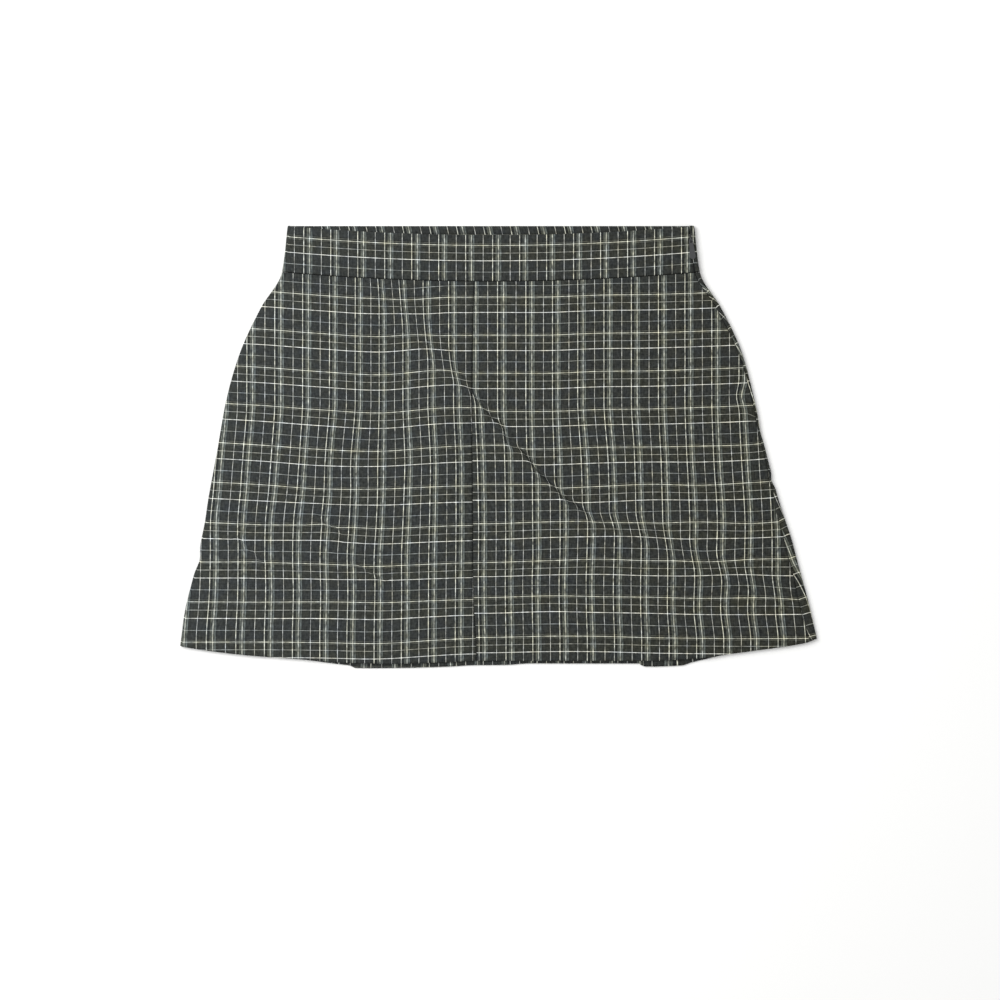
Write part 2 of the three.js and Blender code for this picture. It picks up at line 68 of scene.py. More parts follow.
def add_node(tree, kind, inputs=None, **settings):
    """Adds a node. inputs gives each socket a value or another node's output."""
    made = tree.nodes.new(kind)
    for name, value in settings.items():
        setattr(made, name, value)
    for socket, value in (inputs or {}).items():
        if isinstance(value, bpy.types.NodeSocket):
            tree.links.new(value, made.inputs[socket])
        else:
            made.inputs[socket].default_value = value
    return made


def new_material(name, looks):
    """A node material, and its Principled shader with the looks on its own sockets."""
    material = bpy.data.materials.new(name)
    material.use_nodes = True
    shader = material.node_tree.nodes["Principled BSDF"]
    for socket, value in looks.items():
        shader.inputs[socket].default_value = value
    return material, material.node_tree, shader


def lay_table():
    """Matt white laminate: even and pale, with nothing to see in it but the garment's shade.
    Its grain is about 1 mm across, 900 to the metre."""
    material, tree, shader = new_material("matt_white_laminate", {
        "Base Color": linear("#F7F7F6"), "Roughness": 0.8, "Specular IOR Level": 0.1})
    place = add_node(tree, "ShaderNodeTexCoord")
    grain = add_node(tree, "ShaderNodeTexNoise", {"Vector": place.outputs["Object"], "Scale": 900.0})
    bump = add_node(tree, "ShaderNodeBump",
                    {"Height": grain.outputs["Fac"], "Strength": 0.03, "Distance": 0.0002})
    tree.links.new(bump.outputs["Normal"], shader.inputs["Normal"])
    mesh = bpy.data.meshes.new("table")
    corners = [(x * TABLE_HALF, y * TABLE_HALF, -TABLE_DROP) for x, y in ((-1, -1), (1, -1), (1, 1), (-1, 1))]
    mesh.from_pydata(corners, [], [(0, 1, 2, 3)])
    mesh.materials.append(material)
    table = bpy.data.objects.new("table", mesh)
    bpy.context.scene.collection.objects.link(table)


def light_room():
    """A white room for the fill, and a lamp that gives the folds their shade."""
    world = bpy.data.worlds.new("white_room")
    world.use_nodes = True
    world.node_tree.nodes["Background"].inputs["Color"].default_value = linear("#FFFFFF")
    world.node_tree.nodes["Background"].inputs["Strength"].default_value = ROOM_LIGHT
    bpy.context.scene.world = world
    lamp = bpy.data.lights.new("soft_lamp", "AREA")
    lamp.energy = LAMP_WATTS
    lamp.size = LAMP_SIZE
    holder = bpy.data.objects.new("soft_lamp", lamp)
    holder.location = LAMP_PLACE
    holder.rotation_euler = (-holder.location).to_track_quat("-Z", "Y").to_euler()
    bpy.context.scene.collection.objects.link(holder)


def set_camera():
    """Straight above the cloth, at the height where the frame is as wide as the photo."""
    camera = bpy.data.cameras.new("camera")
    camera.lens = LENS
    camera.sensor_width = SENSOR
    camera.clip_end = CLIP_END
    holder = bpy.data.objects.new("camera", camera)
    height = FRAME_PIXELS * PIXEL * MM * LENS / SENSOR
    holder.location = (VIEW_X * MM, VIEW_Y * MM, CLOTH_HEIGHT + height)
    bpy.context.scene.collection.objects.link(holder)
    bpy.context.scene.camera = holder
    bpy.context.scene.view_settings.view_transform = "Standard"


lay_table()
light_room()
set_camera()

# Skirt front, left half
# Light woven plaid of cotton-like yarn. The half runs from the middle seam round the folded
# left edge to its side seam underneath, and its hem is turned up and blind-stitched.
CLOTH = 0.5
SEAM_GAP = 0.3
FRONT_LEVEL = 4.9
BAND_TOP = 190.4
WAIST_SEAM = 150.4
FRONT_DIP = 8.0
HEM_ALLOWANCE = 20.0
HEM_STEP = 1.5
# A seamed edge turns down over SEAM_ROLL by SEAM_SINK. The side seam is pressed flatter.
SEAM_ROLL = 1.6
SEAM_SINK = 0.6
SIDE_SEAM_SINK = 0.08

# The laid tube at several heights: its folded edges, the front's middle seam, and the height
# of the upper layer at the edges
SIDES = [
    (190.4, -181.5, 168.5, -20.0, 4.9),
    (150.0, -186.5, 173.5, -20.5, 4.9),
    (120.0, -204.5, 191.5, -21.5, 3.9),
    (80.0, -223.0, 210.0, -22.5, 3.6),
    (40.0, -234.5, 220.5, -22.8, 3.6),
    (-5.0, -242.5, 230.5, -22.6, 3.6),
    (-45.0, -250.0, 241.0, -22.2, 3.4),
    (-90.0, -258.0, 254.5, -22.0, 3.2),
    (-130.0, -266.5, 266.0, -21.4, 3.1),
    (-172.0, -274.0, 275.8, -19.0, 3.0),
]
# How far the right side seam lies in from the right edge, which rolls over the more the lower
SIDE_INSET = [
    (190.4, 4.5), (150.0, 4.5), (120.0, 4.2), (80.0, 3.2), (40.0, 2.2), (-5.0, 2.1), (-29.0, 2.1),
    (-43.0, 3.2), (-53.0, 5.2), (-64.0, 5.7), (-77.0, 6.4), (-97.0, 6.9), (-110.0, 6.8), (-130.0, 8.3),
    (-144.0, 8.2), (-154.0, 7.5), (-172.0, 6.4),
]
# The front's hem, and how far the back's hangs below it
FRONT_HEM = [
    (-274.0, -171.6), (-250.0, -175.4), (-212.0, -179.7), (-171.0, -182.6), (-136.0, -185.5),
    (-90.0, -186.6), (-44.0, -185.2), (-20.0, -184.0), (126.0, -184.0), (178.0, -181.5),
    (197.0, -178.5), (218.0, -175.7), (265.0, -168.5), (274.0, -164.9),
]
BACK_DROP = [
    (-274.0, -0.4), (-212.0, -0.3), (-171.0, 0.2), (-128.0, 2.2), (-124.0, 4.2), (-85.0, 3.6),
    (-42.0, 3.9), (6.0, 3.6), (27.0, 2.3), (75.0, 2.4), (121.0, 2.4), (125.0, 5.0),
    (158.0, 5.2), (165.0, 3.4), (180.0, 1.0), (200.0, -0.3), (240.0, -0.4),
]


def smooth_line(points):
    """A smooth line through (place, value) points, that never overshoots them."""
    at, value = np.array(sorted(points), float).T
    step = np.diff(at)
    slope = np.diff(value) / step
    before, after = slope[:-1], slope[1:]
    same_way = before * after > 0
    total = np.where(same_way, before + after, 1.0)
    inner = np.where(same_way, 2 * before * after / total, 0.0)
    slopes = np.concatenate([slope[:1], inner, slope[-1:]])

    def line(place):
        held = np.clip(place, at[0], at[-1])
        i = np.clip(np.searchsorted(at, held) - 1, 0, len(step) - 1)
        t = (held - at[i]) / step[i]
        rise = t * t * (3 - 2 * t)
        lead = t * (1 - t) ** 2 * step[i] * slopes[i]
        trail = t * t * (t - 1) * step[i] * slopes[i + 1]
        return value[i] + (value[i + 1] - value[i]) * rise + lead + trail

    return line


# Small nicks and swells of the folded edges: where, how far to the right, and half their length
LEFT_NICKS = [(-97.0, 2.2, 8.0), (-142.0, -1.4, 22.0), (-64.0, 0.6, 14.0)]
RIGHT_NICKS = [(14.0, -0.9, 10.0), (-29.0, -1.6, 4.0), (-78.0, 1.0, 20.0)]

smooth_left, smooth_right, centre_seam, edge_level = [
    smooth_line([(row[0], row[column]) for row in SIDES]) for column in range(1, 5)]
side_inset = smooth_line(SIDE_INSET)
front_hem = smooth_line(FRONT_HEM)
back_drop = smooth_line(BACK_DROP)


def nicks(places, y):
    """How far the small nicks and swells move an edge to the right."""
    return sum(depth * np.exp(-((y - place) / half) ** 2) for place, depth, half in places)


def left_edge(y):
    """The folded left edge. The next functions give the other edges and seams the same way."""
    return smooth_left(y) + nicks(LEFT_NICKS, y)


def right_edge(y):
    return smooth_right(y) + nicks(RIGHT_NICKS, y)


def side_seam(y):
    return right_edge(y) - side_inset(y)


def under_seam(y):
    """The other side seam, underneath: both halves of the front are as wide as each other."""
    return side_seam(y) + 2 * left_edge(y) - 2 * centre_seam(y)


def left_bend(y):
    """Where the upper layer starts to bend round the left edge."""
    return left_edge(y) + edge_level(y) / 2


def right_bend(y):
    """Where it starts to bend round the right edge."""
    return right_edge(y) - edge_level(y) / 2


def sewn_edge(seam, side):
    """A cloth's edge beside a seam, half the gap away: side is -1 to its left, 1 to its right."""
    def edge(y):
        return seam(y) + side * SEAM_GAP / 2
    return edge


left_of_middle, right_of_middle = sewn_edge(centre_seam, -1), sewn_edge(centre_seam, 1)
front_at_side, back_at_side = sewn_edge(side_seam, -1), sewn_edge(side_seam, 1)
front_underneath, back_underneath = sewn_edge(under_seam, -1), sewn_edge(under_seam, 1)


def back_hem(x):
    return front_hem(x) - back_drop(x)


def ease(value, start, end):
    """Climbs smoothly from 0 at start to 1 at end."""
    t = np.clip((value - start) / (end - start), 0.0, 1.0)
    return t * t * (3 - 2 * t)


def front_dip(x):
    """How far the front's waist dips below the back's."""
    middle = (left_edge(WAIST_SEAM) + right_edge(WAIST_SEAM)) / 2
    half = (right_edge(WAIST_SEAM) - left_edge(WAIST_SEAM)) / 2
    return FRONT_DIP * (1 - np.clip((x - middle) / half, -1, 1) ** 2)


# Folds of the front, in the order of their size. Each runs along its path. near and far are
# the widths of its slopes on the right and the left hand of one who walks the path, given
# with the height at marks along it, 0 at its start and 1 at its end. slot is the depth of the
# sharp crease in it. slip is how far the cloth on the left hand has been drawn in by the fold,
# over its reach. A tuck draws the cloth in from both sides.
FOLDS = [
    {"name": "sharp crease",
     "path": [(-75, 112), (-60, 92), (-44, 72), (-26, 50), (-16, 38), (-7, 27), (1, 20), (5, 14.5),
              (6.5, 7.5), (11, 1), (19, -2.5), (25.5, -9.5), (30, -16), (36.5, -24), (43.5, -30),
              (49.5, -36), (55.5, -43), (61, -47), (67, -49.5), (73, -55), (81, -61), (92, -63.5),
              (104.5, -65.5), (126, -71), (147.5, -83), (171, -96), (192, -104), (212, -112)],
     "height": [(0, 0), (0.1, 1.2), (0.21, 1.8), (0.26, 2.4), (0.3, 2.8), (0.57, 3.0), (0.62, 2.6),
                (0.68, 2.2), (0.84, 1.8), (1, 0)],
     "near": [(0, 18), (0.2, 14), (0.29, 11), (0.57, 10), (0.65, 14), (0.72, 18), (1, 22)],
     "far": [(0, 16), (0.2, 12), (0.29, 8), (0.57, 8), (0.65, 13), (0.72, 18), (1, 22)],
     "slot": [(0, 0), (0.15, 0), (0.24, 2.2), (0.29, 3.0), (0.57, 3.2), (0.61, 1.6), (0.65, 0)],
     "reach": [(0, 18), (0.12, 12), (0.22, 4.5), (0.57, 4.2), (0.65, 9), (0.76, 14), (1, 13)],
     "slip": (4.4, 3.4)},
    {"name": "second fold",
     "path": [(104, 22), (120, 8), (146, -12), (176, -34), (200, -58), (212, -76)],
     "height": [(0, 0), (0.3, 1.8), (0.6, 2.2), (1, 0)],
     "near": [(0, 18), (1, 18)],
     "far": [(0, 14), (1, 18)]},
    {"name": "left swell",
     "path": [(-150, 95), (-144, 20), (-144, -50), (-142, -120)],
     "height": [(0, 0), (0.3, 1.6), (0.7, 1.4), (1, 0)],
     "near": [(0, 42), (1, 42)],
     "far": [(0, 42), (1, 42)]},
    {"name": "middle swell",
     "path": [(-58, 100), (-52, 0), (-52, -95)],
     "height": [(0, 0), (0.3, 1.6), (0.7, 1.4), (1, 0)],
     "near": [(0, 30), (1, 30)],
     "far": [(0, 28), (1, 28)]},
    {"name": "left waist fold",
     "path": [(-112, 141), (-113, 110), (-119, 80), (-128, 50)],
     "height": [(0, 0.4), (0.3, 2.0), (0.7, 1.6), (1, 0)],
     "near": [(0, 10), (1, 18)],
     "far": [(0, 14), (1, 18)]},
    {"name": "right waist fold",
     "path": [(62, 141), (63, 110), (73, 76), (88, 48)],
     "height": [(0, 0.4), (0.3, 2.0), (0.7, 1.6), (1, 0)],
     "near": [(0, 15), (1, 18)],
     "far": [(0, 10), (1, 18)]},
    {"name": "hip drag",
     "path": [(186, 62), (160, 77), (138, 93), (118, 105)],
     "height": [(0, 0), (0.3, 1.5), (0.6, 1.3), (1, 0)],
     "near": [(0, 8), (1, 14)],
     "far": [(0, 12), (1, 14)]},
    {"name": "left tuck",
     "path": [(-158, -58), (-149, -65), (-140, -71), (-131, -77)],
     "height": [(0, 0), (0.4, 0.9), (0.7, 0.8), (1, 0)],
     "near": [(0, 5), (1, 6)],
     "far": [(0, 2), (1, 5)],
     "tuck": (1.0, 2.8)},
    {"name": "edge tuck",
     "path": [(-226, -76), (-218, -84), (-209, -93), (-200, -101)],
     "height": [(0, 0), (0.4, 0.9), (0.7, 0.8), (1, 0)],
     "near": [(0, 5), (1, 6)],
     "far": [(0, 2), (1, 5)],
     "tuck": (1.4, 1.6)},
    {"name": "low tuck",
     "path": [(-129, -98), (-118, -104), (-106, -111), (-95, -117)],
     "height": [(0, 0), (0.4, 1.0), (0.7, 0.9), (1, 0)],
     "near": [(0, 7), (1, 8)],
     "far": [(0, 3), (1, 6)],
     "tuck": (1.0, 1.8)},
]
SLOT_HALF = 0.8
SLOT_SLIP = 0.32
TUCK_REACH = 14.0
# A path runs on straight by FOLD_REACH past its ends, as its last FOLD_LEAD steps point.
FOLD_REACH = 400.0
FOLD_STEP = 1.0
FOLD_LEAD = 6
# The front lies higher where the shorts are under it, and falls beyond them.
SHORTS_SIDE_INSET = 24.0
LEG_HEM = -148.0
STACK_SHOULDER = 6.0
STACK_FALL = 23.0
# The folds die out towards the edges, which lie flat.
EDGE_CALM = 4.0
EDGE_FREE = 24.0


def walk(fold):
    """Points along a fold's path a step apart, run on straight past both ends, with each
    one's share of the way."""
    marks = np.array(fold["path"], float)
    marks = np.vstack([2 * marks[0] - marks[1], marks, 2 * marks[-1] - marks[-2]])
    points = []
    for a, b, c, d in zip(marks, marks[1:], marks[2:], marks[3:]):
        for t in np.linspace(0, 1, max(2, int(np.linalg.norm(c - b) / FOLD_STEP)), endpoint=False):
            points.append(through_four(a, b, c, d, t))
    points.append(marks[-2])
    points = np.array(points)
    gone = np.concatenate([[0], np.cumsum(np.linalg.norm(np.diff(points, axis=0), axis=1))])
    first = points[0] - FOLD_REACH * unit(points[FOLD_LEAD] - points[0])
    last = points[-1] + FOLD_REACH * unit(points[-1] - points[-1 - FOLD_LEAD])
    return np.vstack([first, points, last]), np.concatenate([[0], gone / gone[-1], [1]])


def through_four(a, b, c, d, t):
    """A smooth curve from b to c, led in and out by their neighbours."""
    bend = (2 * a - 5 * b + 4 * c - d) * t ** 2
    turn = (3 * b - a - 3 * c + d) * t ** 3
    return 0.5 * (2 * b + (c - a) * t + bend + turn)


def unit(vector):
    return vector / np.linalg.norm(vector)


def beside(fold, x, y):
    """For each place, the share of the way along the fold, the distance to its left and the
    direction of that side."""
    points, shares = walk(fold)
    start, run = points[:-1], np.diff(points, axis=0)
    length = np.linalg.norm(run, axis=1)
    flat_x, flat_y = np.ravel(x), np.ravel(y)
    best = np.full(flat_x.shape, np.inf)
    share = np.zeros(flat_x.shape)
    away = np.zeros(flat_x.shape)
    side_x = np.zeros(flat_x.shape)
    side_y = np.zeros(flat_x.shape)
    for i in range(len(start)):
        along = run[i] / length[i]
        dx, dy = flat_x - start[i, 0], flat_y - start[i, 1]
        walked = np.clip(dx * along[0] + dy * along[1], 0, length[i])
        off_x, off_y = dx - walked * along[0], dy - walked * along[1]
        gap = np.hypot(off_x, off_y)
        nearer = gap < best
        best[nearer] = gap[nearer]
        share[nearer] = (shares[i] + (shares[i + 1] - shares[i]) * walked / length[i])[nearer]
        sign = np.where(dy * along[0] - dx * along[1] >= 0, 1.0, -1.0)
        away[nearer] = (sign * gap)[nearer]
        side_x[nearer] = -along[1]
        side_y[nearer] = along[0]
    shape = np.shape(x)
    return [part.reshape(shape) for part in (share, away, side_x, side_y)]


def fold_height(fold, share, away):
    """How far a fold lifts the cloth: a soft ridge, with the crease as a slot along its top."""
    near = smooth_line(fold["near"])(share)
    far = smooth_line(fold["far"])(share)
    foot = np.clip(np.where(away < 0, -away / near, away / far), 0, 1)
    raised = smooth_line(fold["height"])(share) * (0.5 + 0.5 * np.cos(np.pi * foot))
    if "slot" in fold:
        raised = raised - smooth_line(fold["slot"])(share) * np.exp(-(away / SLOT_HALF) ** 2)
    return raised


def fold_slip(fold, share, away):
    """How far the fold has drawn the cloth beside it, as a share of its whole pull."""
    if "tuck" in fold:
        ends = np.sin(np.pi * np.clip(share, 0, 1)) ** 0.5
        return 0.5 * np.sign(away) * np.exp(-np.abs(away) / TUCK_REACH) * ends * ease(np.abs(away), 0, 1)
    reach = smooth_line(fold["reach"])(share)
    slot = smooth_line(fold["slot"])(share)
    sharp = SLOT_SLIP * slot / np.max(slot)
    return (1 - sharp) * ease(away, -reach, reach) + sharp * ease(away, -SLOT_HALF, SLOT_HALF)


def front_surface(x, y):
    """The front's upper face: its height, and how far the folds have drawn the cloth in."""
    beyond = np.maximum(left_edge(y) + SHORTS_SIDE_INSET - x, x - right_edge(y) + SHORTS_SIDE_INSET)
    stack = 1 - ease(beyond, STACK_SHOULDER, STACK_FALL)
    stack = stack * (1 - ease(LEG_HEM - y, STACK_SHOULDER, STACK_FALL))
    inside = np.minimum(x - left_edge(y), side_seam(y) - x)
    free = ease(inside, EDGE_CALM, EDGE_FREE)
    level = edge_level(y) + (FRONT_LEVEL - edge_level(y)) * stack
    slip_x, slip_y = np.zeros(np.shape(x)), np.zeros(np.shape(x))
    for fold in FOLDS:
        share, away, _, _ = beside(fold, x, y)
        level = level + fold_height(fold, share, away) * free
        pull_x, pull_y = fold.get("slip") or fold.get("tuck") or (0, 0)
        if pull_x or pull_y:
            drawn = fold_slip(fold, share, away)
            slip_x = slip_x + pull_x * drawn
            slip_y = slip_y + pull_y * drawn
    return level, slip_x, slip_y


# How the plaid lies on the front. WARP and WEFT are the repeats of the cloth. At heights down
# the front and places across it, the tables give how far the upright lines have drifted to
# the right of straight ones, and how far the level lines have sagged.
WARP = 23.2
WEFT = 32.8
WEFT_START = 32.9
DRIFT_PLACES_LEFT = [-264.5, -218.0, -171.5, -125.0, -79.0, -32.3]
DRIFT_LEFT = [
    (36.0, [8.0, 6.1, 7.7, 6.7, 0.8, -1.9]),
    (-11.0, [3.0, 2.6, 4.8, 2.8, 2.7, 0.1]),
    (-38.0, [0.4, 0.7, 2.8, 2.7, 2.1, 0.3]),
    (-63.0, [-2.1, -1.5, 0.2, 1.6, 1.2, 0.4]),
    (-93.0, [-2.4, -1.6, -0.8, -0.3, 0.0, 0.2]),
    (-127.0, [-3.6, -1.5, -0.2, 0.1, 0.0, -0.1]),
    (-166.0, [-6.5, -3.0, -1.1, -0.7, -0.3, -0.3]),
]
SAG_PLACES_LEFT = [-256.5, -205.0, -153.5, -102.0, -50.5, -23.0]
SAG_LEFT = [
    (32.7, [-5.1, -2.8, 1.0, 3.7, -0.3, -0.8]),
    (0.0, [-4.0, -1.4, 2.2, 3.9, 0.4, -0.7]),
    (-33.0, [-2.5, -0.2, 3.4, 3.5, 1.5, 0.8]),
    (-65.5, [-0.5, 1.3, 2.0, 4.7, 2.8, 2.1]),
    (-98.5, [0.7, 1.1, 2.5, 4.2, 2.4, 1.5]),
    (-131.0, [2.1, 2.3, 2.1, 2.8, 1.0, 0.2]),
    (-164.0, [4.1, 4.0, 4.5, 5.3, 2.3, 1.0]),
]
LEFT_MAIN_LINE = -31.9
RIGHT_MAIN_LINE = -12.2


def hand_laid(places, rows, x, y):
    """A smooth surface through the table's numbers, held level past its edges."""
    heights = np.array([row[0] for row in rows])[::-1]
    values = np.array([curve_through(np.array(places), np.array(row[1]), x) for row in rows])[::-1]
    held = np.clip(y, heights[0], heights[-1])
    i = np.clip(np.searchsorted(heights, held) - 1, 0, len(heights) - 2)
    t = (held - heights[i]) / (heights[i + 1] - heights[i])
    grid = np.indices(np.shape(x))
    around = [values[(np.clip(i + k, 0, len(heights) - 1),) + tuple(grid)] for k in (-1, 0, 1, 2)]
    return through_four(*around, t)


def curve_through(places, values, x):
    """A smooth curve through the values at their places, held level past both ends."""
    held = np.clip(x, places[0], places[-1])
    i = np.clip(np.searchsorted(places, held) - 1, 0, len(places) - 2)
    t = (held - places[i]) / (places[i + 1] - places[i])
    around = [values[np.clip(i + k, 0, len(places) - 1)] for k in (-1, 0, 1, 2)]
    return through_four(*around, t)


def left_plaid(x, y, slip_x, slip_y):
    """Where a place on the left half lies in the cloth, across its warp and down its weft."""
    across = x + slip_x - LEFT_MAIN_LINE - hand_laid(DRIFT_PLACES_LEFT, DRIFT_LEFT, x, y)
    down = WEFT_START - y - slip_y - hand_laid(SAG_PLACES_LEFT, SAG_LEFT, x, y)
    return across, down


def down_column(x, share, on_top):
    """The height of a place in a column that runs from the waist seam to the hem."""
    top = WAIST_SEAM - SEAM_GAP / 2 - (front_dip(x) if on_top else 0)
    bottom = front_hem(x) if on_top else back_hem(x)
    return top + (bottom - top) * share


SETTLE_ROUNDS = 6


def settle(share, on_top, first, last, across):
    """The places where rows meet columns between two edges, as each depends on the other."""
    y = WAIST_SEAM + (front_hem(0.0) - WAIST_SEAM) * share
    for _ in range(SETTLE_ROUNDS):
        x = first(y) + (last(y) - first(y)) * across
        y = down_column(x, share, on_top)
    return x, y


def seam_roll(distance, sink=SEAM_SINK):
    """How far a seamed edge turns down into its seam, at a distance from it."""
    return sink * (1 - np.sqrt(np.clip(1 - (1 - np.clip(distance / SEAM_ROLL, 0, 1)) ** 2, 0, 1)))


def outward(points):
    """Unit normals of a grid of points."""
    down = np.gradient(points, axis=0)
    across = np.gradient(points, axis=1)
    normal = np.cross(down, across)
    return normal / np.linalg.norm(normal, axis=2, keepdims=True)


def shell(name, outer, thickness, flow, material, flip=False):
    """A closed thin wall from a grid of points on its outer face. flow holds each point's
    place in the cloth, in millimetres, and becomes the UV map."""
    rows, columns, _ = outer.shape
    normal = outward(outer)
    if flip:
        normal = -normal
    inner = outer - normal * np.asarray(thickness)[..., None]
    count = rows * columns
    points = np.concatenate([outer.reshape(-1, 3), inner.reshape(-1, 3)]) * MM
    index = np.arange(count).reshape(rows, columns)
    a, b, c, d = index[:-1, :-1], index[1:, :-1], index[1:, 1:], index[:-1, 1:]
    a, b, c, d = [part.ravel() for part in (a, b, c, d)]
    faces = np.concatenate([np.stack([a, b, c], 1), np.stack([a, c, d], 1)])
    if flip:
        faces = faces[:, ::-1]
    under = faces[:, ::-1] + count
    rims = []
    for edge in (index[0, :], index[:, -1], index[-1, ::-1], index[::-1, 0]):
        s, e = edge[:-1], edge[1:]
        rims += [np.stack([s, e, e + count], 1), np.stack([s, e + count, s + count], 1)]
    rims = np.concatenate(rims)
    if flip:
        rims = rims[:, ::-1]
    triangles = np.concatenate([faces, under, rims])
    mesh = bpy.data.meshes.new(name)
    mesh.vertices.add(len(points))
    mesh.vertices.foreach_set("co", points.ravel())
    mesh.loops.add(triangles.size)
    mesh.loops.foreach_set("vertex_index", triangles.ravel().astype(np.int32))
    mesh.polygons.add(len(triangles))
    mesh.polygons.foreach_set("loop_start", np.arange(0, triangles.size, 3, dtype=np.int32))
    mesh.polygons.foreach_set("use_smooth", np.ones(len(triangles), bool))
    mesh.update(calc_edges=True)
    mesh.validate()
    cloth_map = mesh.uv_layers.new(name="cloth")
    spots = np.concatenate([flow.reshape(-1, 2)] * 2)
    corner = np.zeros(len(mesh.loops), np.int32)
    mesh.loops.foreach_get("vertex_index", corner)
    cloth_map.data.foreach_set("uv", spots[corner].ravel())
    mesh.materials.append(material)
    piece = bpy.data.objects.new(name, mesh)
    bpy.context.scene.collection.objects.link(piece)
    return piece


def hem_wall(above):
    """The wall's thickness: one cloth, and two where the hem is turned up inside."""
    return CLOTH + CLOTH * (1 - ease(above, HEM_ALLOWANCE - HEM_STEP, HEM_ALLOWANCE))


# Yarn-dyed plaid. Each stripe has its place in the repeat, the half width of its soft edges,
# its colour, the colours right before and after it, and the ground that follows. Warp and weft
# each give half of what shows, so the two are added. The ground is near-black charcoal, and
# looks deeper right beside a bright yarn. The main warp stripe is a pale group of yarns.
GROUND = "#20211F"
OLIVE = "#21221E"
INKY = "#1F2122"
DEEP = "#0D0E0D"
PALE = "#3B3E3C"
WARP_STRIPES = [
    (-2.0, 0.75, "#52554D", DEEP, PALE, PALE),
    (-0.1, 0.6, "#B4B6AD", PALE, PALE, PALE),
    (1.9, 0.75, "#5E6462", PALE, DEEP, GROUND),
    (10.05, 0.4, "#BDBEBA", DEEP, DEEP, GROUND),
    (18.15, 0.43, "#DCDDD2", DEEP, DEEP, DEEP),
]
WARP_SPLIT = 14.0
WEFT_STRIPES = [
    (-1.75, 0.5, "#50514C", DEEP, DEEP, DEEP),
    (-0.1, 0.46, "#CFD0C4", DEEP, DEEP, DEEP),
    (1.3, 0.5, "#53544E", DEEP, DEEP, OLIVE),
    (6.55, 0.42, "#989994", DEEP, DEEP, OLIVE),
    (13.15, 0.4, "#ECEDE9", DEEP, DEEP, INKY),
    (22.85, 0.42, "#8A8E8E", DEEP, DEEP, INKY),
]
WEFT_SPLIT = 18.0
STRIPE_CALM = 1.0
YARN = 0.5
WEAVE_RELIEF = 0.3
# The sizes of thick places, of the beads along bright yarns and of the patches of tint
SLUB = 2.6
BEAD_LONG = 4.5
BEAD_BROAD = 1.4
TINT_SPAN = 9.0
# Most of a noise lies between these two.
NOISE_LOW = 0.3
NOISE_HIGH = 0.7
# The painted sheen fades and the painted light tint warms from left to right, in metres from the middle.
PAINTED_LIGHT_LEFT = -0.25
PAINTED_LIGHT_RIGHT = 0.28


def stripe_ramp(tree, place, repeat, stripes, split):
    """The colour of the yarns at a place in the cloth, from a chart of one repeat that is
    split in a plain stretch."""
    turn = add_node(tree, "ShaderNodeMath", {0: place, 1: 1 / repeat, 2: -split / repeat},
                    operation="MULTIPLY_ADD")
    share = add_node(tree, "ShaderNodeMath", {0: turn.outputs[0], 1: 1.0, 2: 0.0}, operation="WRAP")
    ramp = add_node(tree, "ShaderNodeValToRGB", {"Fac": share.outputs[0]})
    stops = []
    for i, (offset, half, colour, before, after, ground) in enumerate(stripes):
        following = stripes[i + 1][0] if i + 1 < len(stripes) else stripes[0][0] + repeat
        stops += [(offset - half, before), (offset, colour), (offset + half, after)]
        if following - offset > 4 * STRIPE_CALM:
            stops += [(offset + half + STRIPE_CALM, ground), (following - half - STRIPE_CALM, ground)]
    stops = sorted([(((at - split) / repeat) % 1.0, colour) for at, colour in stops])
    elements = ramp.color_ramp.elements
    while len(elements) < len(stops):
        elements.new(0.5)
    for element, (at, colour) in zip(elements, stops):
        element.position = at
    for element, (at, colour) in zip(elements, stops):
        element.color = linear(colour)
    return ramp


def uneven(tree, cloth, long_way, broad_way, least, most):
    """How strongly a yarn shows along its length, as the weave covers it more or less."""
    drawn = add_node(tree, "ShaderNodeVectorMath", {0: cloth, 1: (1 / long_way, 1 / broad_way, 1)},
                     operation="MULTIPLY")
    noise = add_node(tree, "ShaderNodeTexNoise",
                     {"Vector": drawn.outputs["Vector"], "Scale": 1.0, "Detail": 2.0})
    shown = add_node(tree, "ShaderNodeMapRange",
                     {"Value": noise.outputs["Fac"], "From Min": NOISE_LOW, "From Max": NOISE_HIGH,
                      "To Min": least, "To Max": most})
    return shown.outputs["Result"]


def dimmed(tree, colour, factors):
    """A colour made darker or lighter by each factor in turn."""
    for factor in factors:
        step = add_node(tree, "ShaderNodeVectorMath", {0: colour, "Scale": factor}, operation="SCALE")
        colour = step.outputs["Vector"]
    return colour


